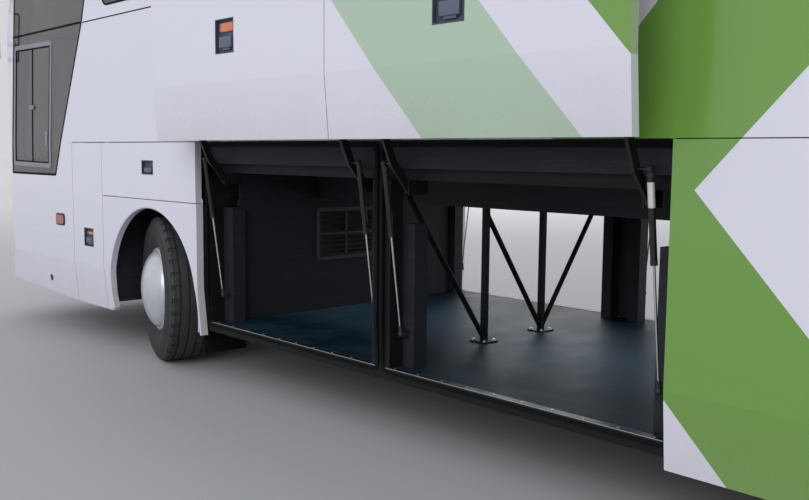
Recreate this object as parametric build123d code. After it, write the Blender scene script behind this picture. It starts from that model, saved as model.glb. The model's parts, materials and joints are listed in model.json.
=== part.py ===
from build123d import *
import os
from math import atan2, cos, degrees, hypot, pi, radians, sin

# A high-deck touring coach, 12 m class, two axles, seats over two through luggage bays.
# Millimetres. +X is forward, +Y the left side, +Z up.
# The origin is on the ground, at mid length, on the centre plane.
# The four luggage doors stand raised on their swing arms.

os.makedirs("parts", exist_ok=True)

# Driving dimensions: the whole vehicle
LENGTH = 12200
WIDTH = 2550
HEIGHT = 3700
FRONT_OVERHANG = 2950
WHEELBASE = 6100
WALL = 50
SKIN = 45
SEAT_GAP = 0.3
PANEL_GAP = 6

# Heights of the side's seams, above the ground
SKIRT_Z = 300
BUMPER_Z = 810
HATCH_Z = 1173
BELT_Z = 1580
SILL_Z = 2590
ROOF_Z = HEIGHT - 260
WINDOW_TOP_Z = ROOF_Z - 50
BROW_LENGTH = 420

# Cross section
TUCK = 30
TUCK_Z = 620
LEAN = 42
CANT_DROP = 450
SHOULDER_IN = 275
SHOULDER_DROP = 125

# Plan view and side view of the ends
FRONT_CORNER = 460
FRONT_FLAT_IN = 325
FRONT_BOW = 90
REAR_CORNER = 250
REAR_FLAT_IN = 225
REAR_BOW = 25
SCREEN_BASE_Z = 1350
SCREEN_TOP_Z = HEIGHT - 350
SCREEN_RAKE = 440

# Wheels, size 295/80 R22.5
TYRE_R = 522
TYRE_W = 295
RIM_R = 292
AXLE_R = 60
STUB_R = 45
TWIN_PITCH = 335
TRACK_FRONT = WIDTH - 430
KING_IN = 190
HUB_BULGE = 110
# The front wheels stand turned a little to the right, as in the photo
STEER_REST = -17
REAR_OUTER_Y = WIDTH / 2 - 190
ARCH_R = 640
ARCH_Z = 480

# Luggage bays and their raised doors
BAY_START = 660
BAY_TO_REAR_AXLE = 1980
BAY_PITCH = (WHEELBASE - BAY_START - BAY_TO_REAR_AXLE) / 2
FLOOR_Z = 390
FLOOR_T = 40
DOOR_OUT = 295
DOOR_CLEAR = 8
POST_HALF = 70
JAMB_T = 40
STRUT_X = 100
ARM_X = 165
ARM_T = 16
ARM_W = 44
PIVOT_Y = WIDTH / 2 - 125
LUG_Y = WIDTH / 2 - 100
LUG_UP = 350
CRANK_R = 175
CRANK_ANGLE = 50
STUD_Z = 575
BULKHEAD_IN = 90
BULKHEAD_T = 30
ENGINE_IN = 440
ENGINE_AHEAD = 1310
ENGINE_Z = (420, 1150)
RAIL_Y = WIDTH / 2 - 875
RAIL_W = 80
RAIL_Z = (650, 790)
TOW_R = 16
TOW_DEPTH = 80
TOW_Z = 720
TOW_NOTCH = 60
STUD_Y = WIDTH / 2 - 135
TUBE_R = 14
ROD_R = 5.5
COVER_Y = (WIDTH / 2 - 275, WIDTH / 2 - 183)
COVER_TOP = 1150
COVER_CLEAR = 8
HEADER_H = 60
HEADER_W = 90
HEADER_IN = 60
POST_W = 90
KERB_T = 24
TRUSS_Y = 270
TRUSS_AHEAD = 100
TRUSS_TUBE = 17
TRUSS_FOOT = 60

# Passenger deck with its sunken gangway
DECK_Z = 1480
DECK_T = 40
DECK_IN = 30
GANGWAY_Z = 1240
GANGWAY_HALF = 300
CAB_FLOOR_Z = 950
SEAT_ROWS = 11
SEAT_PITCH = 790
FIRST_STEP_Z = 400
STEP_COUNT = 3
STEP_RUN = 200

# Worked out
HALF = WIDTH / 2
NOSE = LENGTH / 2
FRONT_AXLE = NOSE - FRONT_OVERHANG
REAR_AXLE = FRONT_AXLE - WHEELBASE
KING_Y = TRACK_FRONT / 2 - KING_IN
BAY_EDGES = [FRONT_AXLE - BAY_START - i * BAY_PITCH for i in range(3)]
CAB_X = FRONT_AXLE + 1264
FLAP_X = FRONT_AXLE + 730
FRONT_CUT = NOSE - FRONT_CORNER
REAR_CUT = -NOSE + REAR_CORNER + 100
BROW_X = FRONT_CUT - BROW_LENGTH
LIFT = BELT_Z - SKIRT_Z
EDGE_Y = HALF - SKIN - TUCK - DOOR_CLEAR


def box(x0, x1, y0, y1, z0, z1):
    """A block between two corners."""
    centre = Pos((x0 + x1) / 2, (y0 + y1) / 2, (z0 + z1) / 2)
    return centre * Box(abs(x1 - x0), abs(y1 - y0), abs(z1 - z0))


def rod_x(x0, x1, y, z, r):
    """A round bar along X."""
    return Pos((x0 + x1) / 2, y, z) * Rot(0, 90, 0) * Cylinder(r, abs(x1 - x0))


def rod_y(x, y0, y1, z, r):
    """A round bar along Y."""
    return Pos(x, (y0 + y1) / 2, z) * Rot(90, 0, 0) * Cylinder(r, abs(y1 - y0))


def rod_z(x, y, z0, z1, r):
    """A round bar along Z."""
    return Pos(x, y, (z0 + z1) / 2) * Cylinder(r, abs(z1 - z0))


def bar(p, q, r):
    """A round bar between two points."""
    a, b = Vector(*p), Vector(*q)
    return Plane(origin=(a + b) / 2, z_dir=b - a) * Cylinder(r, (b - a).length)


def flat_bar(x, p, q, width, thick):
    """A flat bar in the plane X = x, with round ends centred on two (y, z) points."""
    length = hypot(q[0] - p[0], q[1] - p[1])
    turn = degrees(atan2(q[1] - p[1], q[0] - p[0]))
    mid = ((p[0] + q[0]) / 2, (p[1] + q[1]) / 2)
    face = Pos(*mid) * Rot(0, 0, turn) * SlotCenterToCenter(length, width)
    return extrude(Plane.YZ.offset(x - thick / 2) * face, thick)


def other_side(shape):
    """The same piece on the vehicle's other side."""
    return mirror(shape, Plane.XZ)


def section(d):
    """The body's cross section, a distance d inside the outer skin."""
    h = HALF - d
    top = HEIGHT - d
    shoulder = (HALF - SHOULDER_IN, top - SHOULDER_DROP)
    cant = (h - LEAN, HEIGHT - CANT_DROP)
    knee = ((cant[0] + shoulder[0]) / 2 + 55, (cant[1] + shoulder[1]) / 2 + 40)
    right = [(h - TUCK, 0), (h - TUCK, SKIRT_Z - 20), (h, TUCK_Z), (h, BELT_Z), cant]
    flip = [(-y, z) for y, z in right]
    lines = [
        Polyline(*right),
        ThreePointArc(cant, knee, shoulder),
        ThreePointArc(shoulder, (0, top), (-shoulder[0], shoulder[1])),
        ThreePointArc((-shoulder[0], shoulder[1]), (-knee[0], knee[1]), flip[-1]),
        Polyline(*reversed(flip)),
        Line(flip[0], right[0]),
    ]
    return make_face(lines)


def plan(d):
    """The body seen from above, a distance d inside the outer skin."""
    h = HALF - d
    nose, tail = NOSE - d, -NOSE + d
    fx, rx = NOSE - FRONT_CORNER, -NOSE + REAR_CORNER
    fy, ry = HALF - FRONT_FLAT_IN, HALF - REAR_FLAT_IN
    f_knee = (fx + 0.72 * (nose - FRONT_BOW - fx), fy + 0.72 * (h - fy))
    r_knee = (rx + 0.72 * (tail + REAR_BOW - rx), ry + 0.72 * (h - ry))
    lines = [
        ThreePointArc((nose - FRONT_BOW, -fy), (nose, 0), (nose - FRONT_BOW, fy)),
        ThreePointArc((nose - FRONT_BOW, fy), f_knee, (fx, h)),
        Line((fx, h), (rx, h)),
        ThreePointArc((rx, h), r_knee, (tail + REAR_BOW, ry)),
        ThreePointArc((tail + REAR_BOW, ry), (tail, 0), (tail + REAR_BOW, -ry)),
        ThreePointArc((tail + REAR_BOW, -ry), (r_knee[0], -r_knee[1]), (rx, -h)),
        Line((rx, -h), (fx, -h)),
        ThreePointArc((fx, -h), (f_knee[0], -f_knee[1]), (nose - FRONT_BOW, -fy)),
    ]
    return make_face(lines)


def profile(d):
    """The body seen from the side, a distance d inside the outer skin."""
    nose, tail, top = NOSE - d, -NOSE + d, HEIGHT - d
    screen_top = nose - 40 - SCREEN_RAKE
    brow_end = screen_top - 370
    points = [(nose - 210, 0), (nose - 190, SKIRT_Z + 30), (nose - 20, BUMPER_Z - 110)]
    points += [(nose, SCREEN_BASE_Z - 300), (nose - 40, SCREEN_BASE_Z), (screen_top, SCREEN_TOP_Z)]
    back = [(tail + 60, HEIGHT - CANT_DROP), (tail, BELT_Z + 70), (tail, BUMPER_Z + 140),
            (tail + 90, SKIRT_Z + 120), (tail + 90, 0)]
    lines = [
        Polyline(*points),
        ThreePointArc(points[-1], (screen_top - 110, top - 95), (brow_end, top)),
        Line((brow_end, top), (tail + 350, top)),
        ThreePointArc((tail + 350, top), (tail + 140, top - 110), back[0]),
        Polyline(*back),
        Line(back[-1], points[0]),
    ]
    return make_face(lines)


def body(d):
    """The body's outer form, a distance d inside the outer skin."""
    long_way = extrude(Plane.YZ.offset(-NOSE - 50) * section(d), LENGTH + 100)
    down = extrude(plan(d), HEIGHT + 50)
    across = extrude(Plane.XZ.offset(-HALF - 50) * profile(d), WIDTH + 100)
    return long_way & down & across


OUTER = body(0)
INNER = body(WALL)
SHELL = OUTER - INNER
DOOR_SKIN = OUTER - body(SKIN)
GLASS_T = 8
GLASS_SKIN = OUTER - body(GLASS_T)
ROOM = body(WALL + SEAT_GAP)
AROUND = body(-SEAT_GAP)


def wedge(points, y0, y1):
    """A flat outline of (x, z) points, pushed through from y0 to y1."""
    face = make_face(Polyline(*points, close=True))
    return extrude(Plane.XZ.offset(-max(y0, y1)) * face, abs(y1 - y0))


# The underside rises towards both ends
RISE_FRONT = wedge([(CAB_X, 0), (CAB_X, SKIRT_Z), (NOSE + 60, SKIRT_Z + 70), (NOSE + 60, 0)],
                   -HALF - 60, HALF + 60)
RISE_REAR = wedge([(REAR_AXLE - ARCH_R, 0), (REAR_AXLE - ARCH_R, SKIRT_Z),
                   (-NOSE - 60, SKIRT_Z + 170), (-NOSE - 60, 0)], -HALF - 60, HALF + 60)


def arch(axle, r=ARCH_R):
    """The wheel opening cut through both sides."""
    ring = rod_y(axle, -HALF - 60, HALF + 60, ARCH_Z, r)
    return ring + box(axle - r, axle + r, -HALF - 60, HALF + 60, 0, ARCH_Z)


# Window openings on each side: a row with pillars between, and the low cab window
PILLAR = 70
WINDOW_R = 90
WINDOW_START = FRONT_AXLE + 720
WINDOW_END = REAR_CUT + 160
WINDOW_COUNT = 6


def window_spans():
    """The (x0, x1) span of each passenger window."""
    pitch = (WINDOW_START - WINDOW_END + PILLAR) / WINDOW_COUNT
    return [(WINDOW_START - (i + 1) * pitch + PILLAR, WINDOW_START - i * pitch)
            for i in range(WINDOW_COUNT)]


CAB_SILL_Z = 1307
CAB_WINDOW = [
    (FRONT_AXLE + 1590, CAB_SILL_Z),
    (FRONT_AXLE + 1070, 2500),
    (FRONT_AXLE + 800, WINDOW_TOP_Z),
    (FRONT_CUT - 40, WINDOW_TOP_Z),
    (FRONT_CUT + 60, CAB_SILL_Z),
]


def window_tools(gap):
    """Solids that cut the side windows, or shape their panes when gap is not nought."""
    tools = []
    for side in (1, -1):
        y0, y1 = side * (HALF - 200), side * (HALF + 60)
        for x0, x1 in window_spans():
            tool = box(x0 + gap, x1 - gap, y0, y1, SILL_Z + gap, WINDOW_TOP_Z - gap)
            tools.append(fillet(tool.edges().filter_by(Axis.Y), WINDOW_R - gap))
    return tools


ENTRANCE = (CAB_X + 60, CAB_X + 900)
ENTRANCE_TOP = 2480
GUIDE_WINDOW = [
    (FRONT_AXLE + 1050, ENTRANCE_TOP + 80),
    (FRONT_AXLE + 800, WINDOW_TOP_Z),
    (FRONT_CUT - 40, WINDOW_TOP_Z),
    (FRONT_CUT + 10, ENTRANCE_TOP + 80),
]


def cab_window_tool(side, gap):
    """The driver's low window on the left, or the guide's window over the entrance."""
    corners = CAB_WINDOW if side > 0 else GUIDE_WINDOW
    middle = sum(x for x, z in corners) / len(corners)
    height = sum(z for x, z in corners) / len(corners)
    points = [(x + (gap if x < middle else -gap), z + (gap if z < height else -gap))
              for x, z in corners]
    return wedge(points, side * (HALF - 200), side * (HALF + 60))


MIDDLE_DOOR = (REAR_AXLE + ARCH_R + 150, REAR_AXLE + ARCH_R + 870)
MIDDLE_TOP = 2480


def door_hole(span, top, gap):
    """A passenger door's opening in the right side."""
    return box(span[0] + gap, span[1] - gap, -HALF - 60, -HALF + 200, SKIRT_Z - 10 + gap, top - gap)


SCREEN_HOLE = wedge([(FRONT_CUT - 120, SCREEN_BASE_Z + 30), (NOSE + 60, SCREEN_BASE_Z + 30),
                     (NOSE + 60, SCREEN_TOP_Z - 40), (FRONT_CUT - 320, SCREEN_TOP_Z - 40)],
                    -HALF + 170, HALF - 170)
REAR_GLASS_Z = (SILL_Z - 140, HEIGHT - 500)
REAR_GLASS_Y = HALF - 295
ENGINE_LID_Z = (BUMPER_Z - 110, BELT_Z + 140)
ENGINE_LID_Y = HALF - 395


def rear_box(half, z0, z1, gap):
    """A block through the rear wall."""
    return box(-NOSE - 60, REAR_CUT + 20, -half + gap, half - gap, z0 + gap, z1 - gap)


# Moving panels on the left: the hatch over the wheel and the service flap ahead of it
HATCH = (BAY_EDGES[0] + PANEL_GAP, FLAP_X - PANEL_GAP, HATCH_Z + PANEL_GAP, BELT_Z - PANEL_GAP)
FLAP = (FLAP_X, CAB_X - PANEL_GAP, SKIRT_Z, BELT_Z - PANEL_GAP)
ARCH_FRONT = arch(FRONT_AXLE)
ARCH_REAR = arch(REAR_AXLE)


def side_region(side, x0, x1, z0, z1):
    """A block that takes one side's share of the shell."""
    return box(x0, x1, side * (HALF - 260), side * (HALF + 60), z0, z1)


parts = {}


def add_body_shell():
    """The shell's fixed panels, roof, masks and bumper."""
    g = SEAT_GAP
    windows = window_tools(0)
    for name, side in (("left", 1), ("right", -1)):
        wall = SHELL & side_region(side, REAR_CUT + g, FRONT_CUT - g, BELT_Z, ROOF_Z - g)
        for tool in windows:
            wall -= tool
        wall -= cab_window_tool(side, 0)
        wall -= SCREEN_HOLE
        if side < 0:
            wall -= door_hole(ENTRANCE, ENTRANCE_TOP, 0)
            wall -= door_hole(MIDDLE_DOOR, MIDDLE_TOP, 0)
        parts["side_wall_" + name] = wall

        front = SHELL & side_region(side, BAY_EDGES[0] + g, CAB_X - g, SKIRT_Z, BELT_Z - g)
        front -= ARCH_FRONT
        if side > 0:
            front -= side_region(side, HATCH[0] - 10, CAB_X, HATCH_Z, BELT_Z)
            front -= side_region(side, FLAP_X - PANEL_GAP, CAB_X, 0, BELT_Z)
        parts["skirt_front_" + name] = front

        rear = SHELL & side_region(side, REAR_CUT + g, BAY_EDGES[2] - g, SKIRT_Z, BELT_Z - g)
        rear -= ARCH_REAR
        rear -= RISE_REAR
        if side < 0:
            rear -= door_hole(MIDDLE_DOOR, MIDDLE_TOP, 0)
        parts["skirt_rear_" + name] = rear

    parts["roof"] = SHELL & box(REAR_CUT + g, BROW_X - g, -HALF, HALF, ROOF_Z, HEIGHT + 10)

    mask = SHELL & (box(FRONT_CUT, NOSE + 60, -HALF - 60, HALF + 60, BUMPER_Z + g, HEIGHT + 10)
                    + box(CAB_X, NOSE, -HALF - 60, HALF + 60, BUMPER_Z + g, BELT_Z - g)
                    + box(BROW_X, NOSE, -HALF, HALF, ROOF_Z, HEIGHT + 10)
                    + box(BROW_X, NOSE, -HALF + 260, HALF - 260, WINDOW_TOP_Z - 200, HEIGHT))
    mask -= SCREEN_HOLE
    mask -= cab_window_tool(1, 0)
    mask -= cab_window_tool(-1, 0)
    mask -= door_hole(ENTRANCE, ENTRANCE_TOP, 0)
    for side in (1, -1):
        mask -= lamp_pocket(side, 0)
    parts["front_mask"] = mask

    bumper = SHELL & box(CAB_X, NOSE + 60, -HALF - 60, HALF + 60, SKIRT_Z, BUMPER_Z)
    bumper -= RISE_FRONT
    bumper -= door_hole(ENTRANCE, ENTRANCE_TOP, 0)
    for side in (1, -1):
        bumper -= box(NOSE - 400, NOSE + 60, side * (RAIL_Y - TOW_NOTCH),
                      side * (RAIL_Y + TOW_NOTCH), TOW_Z - TOW_NOTCH, BUMPER_Z + 1)
    parts["bumper_front"] = bumper

    tail = SHELL & box(-NOSE - 60, REAR_CUT, -HALF - 60, HALF + 60, SKIRT_Z, HEIGHT + 10)
    tail -= RISE_REAR
    tail -= rear_box(REAR_GLASS_Y, *REAR_GLASS_Z, 0)
    tail -= rear_box(ENGINE_LID_Y, *ENGINE_LID_Z, 0)
    for side in (1, -1):
        tail -= tail_lamp_pocket(side, 0)
    parts["rear_mask"] = tail


HOUSING_T = 6
HOUSING_TOP = 1160
AXLE_SLOT_Z = 640
LAMP_Z = (BUMPER_Z + 20, BUMPER_Z + 200)
LAMP_Y = (HALF - 655, HALF - 195)
LAMP_DEPTH = 30
TAIL_LAMP_Z = (BUMPER_Z + 90, BELT_Z - 160)
TAIL_LAMP_Y = (HALF - 285, HALF - 125)


def lamp_pocket(side, gap):
    """The headlamp's place in the front mask."""
    y0, y1 = LAMP_Y
    return box(NOSE - 400, NOSE + 60, side * (y0 + gap), side * (y1 - gap),
               LAMP_Z[0] + gap, LAMP_Z[1] - gap)


def tail_lamp_pocket(side, gap):
    """The tail lamp's place in the rear mask."""
    y0, y1 = TAIL_LAMP_Y
    return box(-NOSE - 60, -NOSE + 200, side * (y0 + gap), side * (y1 - gap),
               TAIL_LAMP_Z[0] + gap, TAIL_LAMP_Z[1] - gap)


def add_glass():
    """Bonded panes, lamps and the two passenger doors."""
    g = SEAT_GAP
    panes = [GLASS_SKIN & tool for tool in window_tools(g)]
    panes += [GLASS_SKIN & cab_window_tool(side, g) for side in (1, -1)]
    panes.append(GLASS_SKIN & rear_box(REAR_GLASS_Y, *REAR_GLASS_Z, g))
    parts["side_windows"] = Compound(children=panes)
    screen = wedge([(FRONT_CUT - 120, SCREEN_BASE_Z + 30 + g), (NOSE + 60, SCREEN_BASE_Z + 30 + g),
                    (NOSE + 60, SCREEN_TOP_Z - 40 - g), (FRONT_CUT - 320, SCREEN_TOP_Z - 40 - g)],
                   -HALF + 170 + g, HALF - 170 - g)
    parts["windscreen"] = GLASS_SKIN & screen
    lamp_skin = OUTER - body(LAMP_DEPTH)
    lamps = [lamp_skin & lamp_pocket(side, g) for side in (1, -1)]
    lamps += [lamp_skin & tail_lamp_pocket(side, g) for side in (1, -1)]
    parts["lamps"] = Compound(children=lamps)
    doors = []
    for span, top in ((ENTRANCE, ENTRANCE_TOP), (MIDDLE_DOOR, MIDDLE_TOP)):
        door = DOOR_SKIN & door_hole(span, top, g)
        door -= box(span[0] + 90, span[1] - 90, -HALF - 60, -HALF + 200, BELT_Z - 240, top - 110)
        doors.append(door - RISE_FRONT)
        doors.append(GLASS_SKIN & box(span[0] + 90 + g, span[1] - 90 - g, -HALF - 60, -HALF + 200,
                                      BELT_Z - 240 + g, top - 110 - g))
    parts["passenger_doors"] = Compound(children=doors)


LATCH_SIZE = 190
LATCH_DEPTH = 22


def latch(x, y, z, side, width=LATCH_SIZE, height=LATCH_SIZE):
    """A flush latch: the recess to cut, and the pull that stands in it."""
    recess = box(x - width / 2, x + width / 2, side * (y - LATCH_DEPTH), side * (y + 60),
                 z - height / 2, z + height / 2)
    pull = box(x - width * 0.3, x + width * 0.3, side * (y - LATCH_DEPTH), side * (y - 4),
               z - height * 0.32, z - height * 0.02)
    return recess, pull


BUFFER_W = 30


def add_buffers():
    """Rubber strips on the fixed panels that the closed hatch, flap and lid rest on."""
    y0, y1 = HALF - WALL, HALF - SKIN - SEAT_GAP
    strips = box(FLAP_X - BUFFER_W, FLAP_X + BUFFER_W, y0, y1, TUCK_Z + 20, BELT_Z - 1)
    strips += box(BAY_EDGES[0] + SEAT_GAP, FLAP_X, y0, y1, HATCH_Z - BUFFER_W, HATCH_Z + BUFFER_W)
    parts["skirt_front_left"] += strips
    x1 = -NOSE + REAR_BOW + WALL + 20
    z0 = ENGINE_LID_Z[0]
    for side in (1, -1):
        rest = box(-NOSE, x1, side * (ENGINE_LID_Y - BUFFER_W), side * (ENGINE_LID_Y + 20),
                   z0 - 20, ENGINE_LID_Z[1] + 20)
        parts["rear_mask"] += rest & body(SKIN + SEAT_GAP)


def add_side_flaps():
    """The hatch over the front left wheel and the service flap ahead of it."""
    hatch = DOOR_SKIN & side_region(1, *HATCH)
    recess, pull = latch(FRONT_AXLE, HALF, HATCH_Z + 227, 1, 170, 100)
    parts["wheel_hatch"] = hatch - recess + pull
    flap = DOOR_SKIN & side_region(1, *FLAP)
    recess, pull = latch((FLAP_X + CAB_X) / 2 - 14, HALF, BUMPER_Z + 28, 1, 170, 145)
    parts["service_flap"] = flap - recess + pull
    lid = DOOR_SKIN & rear_box(ENGINE_LID_Y, *ENGINE_LID_Z, PANEL_GAP)
    for i in range(7):
        z = ENGINE_LID_Z[0] + 130 + i * 75
        lid -= box(-NOSE - 60, -NOSE + 200, -620, 620, z, z + 40)
    parts["engine_lid"] = lid


# Cranked swing arms: equal distances to the raised and the lowered lug fix the pivot's height
LUG_LOW = (LUG_Y, SKIRT_Z + LUG_UP)
LUG_HIGH = (LUG_Y + DOOR_OUT, SKIRT_Z + LUG_UP + LIFT)
PIVOT_Z = ((LUG_HIGH[0] ** 2 - LUG_LOW[0] ** 2 - 2 * PIVOT_Y * DOOR_OUT
            + LUG_HIGH[1] ** 2 - LUG_LOW[1] ** 2) / (2 * LIFT))
ARM_ANGLE = degrees(atan2(LUG_HIGH[1] - PIVOT_Z, LUG_HIGH[0] - PIVOT_Y))
ARM_LOW_ANGLE = degrees(atan2(LUG_LOW[1] - PIVOT_Z, LUG_LOW[0] - PIVOT_Y))
ARM_TRAVEL = ARM_ANGLE - ARM_LOW_ANGLE
CRANK = (PIVOT_Y + CRANK_R * cos(radians(CRANK_ANGLE)),
         PIVOT_Z + CRANK_R * sin(radians(CRANK_ANGLE)))
CRANK_LOW = (PIVOT_Y + CRANK_R * cos(radians(CRANK_ANGLE - ARM_TRAVEL)),
             PIVOT_Z + CRANK_R * sin(radians(CRANK_ANGLE - ARM_TRAVEL)))
STRUT_OPEN = hypot(CRANK[0] - STUD_Y, CRANK[1] - STUD_Z)
STRUT_SHUT = hypot(CRANK_LOW[0] - STUD_Y, CRANK_LOW[1] - STUD_Z)
STRUT_TURN = degrees(atan2(CRANK_LOW[1] - STUD_Z, CRANK_LOW[0] - STUD_Y)
                     - atan2(CRANK[1] - STUD_Z, CRANK[0] - STUD_Y))
PIN_R = 9
BOSS_R = 24
PIN_FIT = 0.25
ROD_HOLD = 22
TUBE_HEAD = 40
TUBE_LENGTH = STRUT_OPEN - STRUT_SHUT + ROD_HOLD + TUBE_HEAD + 2


def bay_ends(i):
    """The two ends of bay i: the edge and the way into the bay."""
    return ((BAY_EDGES[i], -1), (BAY_EDGES[i + 1], 1))


def strut_point(t):
    """A point on the raised strut, t from its upper end, as (y, z)."""
    k = t / STRUT_OPEN
    return (CRANK[0] + k * (STUD_Y - CRANK[0]), CRANK[1] + k * (STUD_Z - CRANK[1]))


def door_gear(i):
    """Bay i's left door, arms, strut tubes and strut rods, as raised."""
    x1, x0 = BAY_EDGES[i] - PANEL_GAP / 2, BAY_EDGES[i + 1] + PANEL_GAP / 2
    door = DOOR_SKIN & side_region(1, x0, x1, SKIRT_Z, BELT_Z - PANEL_GAP)
    recess, pull = latch((x0 + x1) / 2 + 30, HALF, SKIRT_Z + 570, 1)
    door = Pos(0, DOOR_OUT, LIFT) * (door - recess + pull)
    inner = HALF - SKIN + DOOR_OUT
    arms, tubes, rods, lugs = [], [], [], []
    for edge, way in bay_ends(i):
        ax = edge + way * ARM_X
        sx = edge + way * STRUT_X
        arm = flat_bar(ax, (PIVOT_Y, PIVOT_Z), CRANK, ARM_W, ARM_T)
        arm += flat_bar(ax, CRANK, LUG_HIGH, ARM_W, ARM_T)
        arm += rod_x(ax - ARM_T / 2, ax + ARM_T / 2, PIVOT_Y, PIVOT_Z, BOSS_R)
        arm += rod_x(ax, sx - way * 12, CRANK[0], CRANK[1], PIN_R - 2)
        for y, z in ((PIVOT_Y, PIVOT_Z), LUG_HIGH):
            arm -= rod_x(ax - ARM_T, ax + ARM_T, y, z, PIN_R + PIN_FIT)
        arms.append(arm)
        # The lug stands on the door's inner face, on the arm's bay side, with the pin in it
        lx = ax + way * (ARM_T / 2 + 5)
        lug = box(lx, lx + way * 10, LUG_HIGH[0] - BOSS_R, inner + 2,
                  LUG_HIGH[1] - BOSS_R, LUG_HIGH[1] + BOSS_R)
        pin = rod_x(ax - way * (ARM_T / 2 + 3), lx + way * 10, LUG_HIGH[0], LUG_HIGH[1], PIN_R)
        lugs.append(lug + pin)
        top, end = (CRANK[0], CRANK[1]), strut_point(TUBE_LENGTH)
        tube = bar((sx, *strut_point(10)), (sx, *end), TUBE_R)
        tube += rod_x(sx - 11, sx + 11, top[0], top[1], 13)
        tube -= rod_x(sx - 30, sx + 30, top[0], top[1], PIN_R - 2 + PIN_FIT)
        tube -= bar((sx, *strut_point(TUBE_HEAD)), (sx, *strut_point(TUBE_LENGTH + 5)),
                    ROD_R + PIN_FIT)
        tubes.append(tube)
        rod = bar((sx, *strut_point(TUBE_LENGTH - ROD_HOLD)), (sx, *strut_point(STRUT_OPEN - 8)),
                  ROD_R)
        rod += rod_x(sx - 8, sx + 8, STUD_Y, STUD_Z, 12)
        rod -= rod_x(sx - 20, sx + 20, STUD_Y, STUD_Z, 6 + PIN_FIT)
        rods.append(rod)
    for lug in lugs:
        door += lug
    return door, Compound(children=arms), Compound(children=tubes), Compound(children=rods)


def add_bay_doors():
    """Four raised luggage doors with their arms and gas struts."""
    for i in (0, 1):
        pieces = door_gear(i)
        for side in ("left", "right"):
            for kind, piece in zip(("bay_door", "door_arms", "strut_tubes", "strut_rods"), pieces):
                shape = piece if side == "left" else other_side(piece)
                parts[kind + "_" + side + "_" + str(i + 1)] = shape


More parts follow.
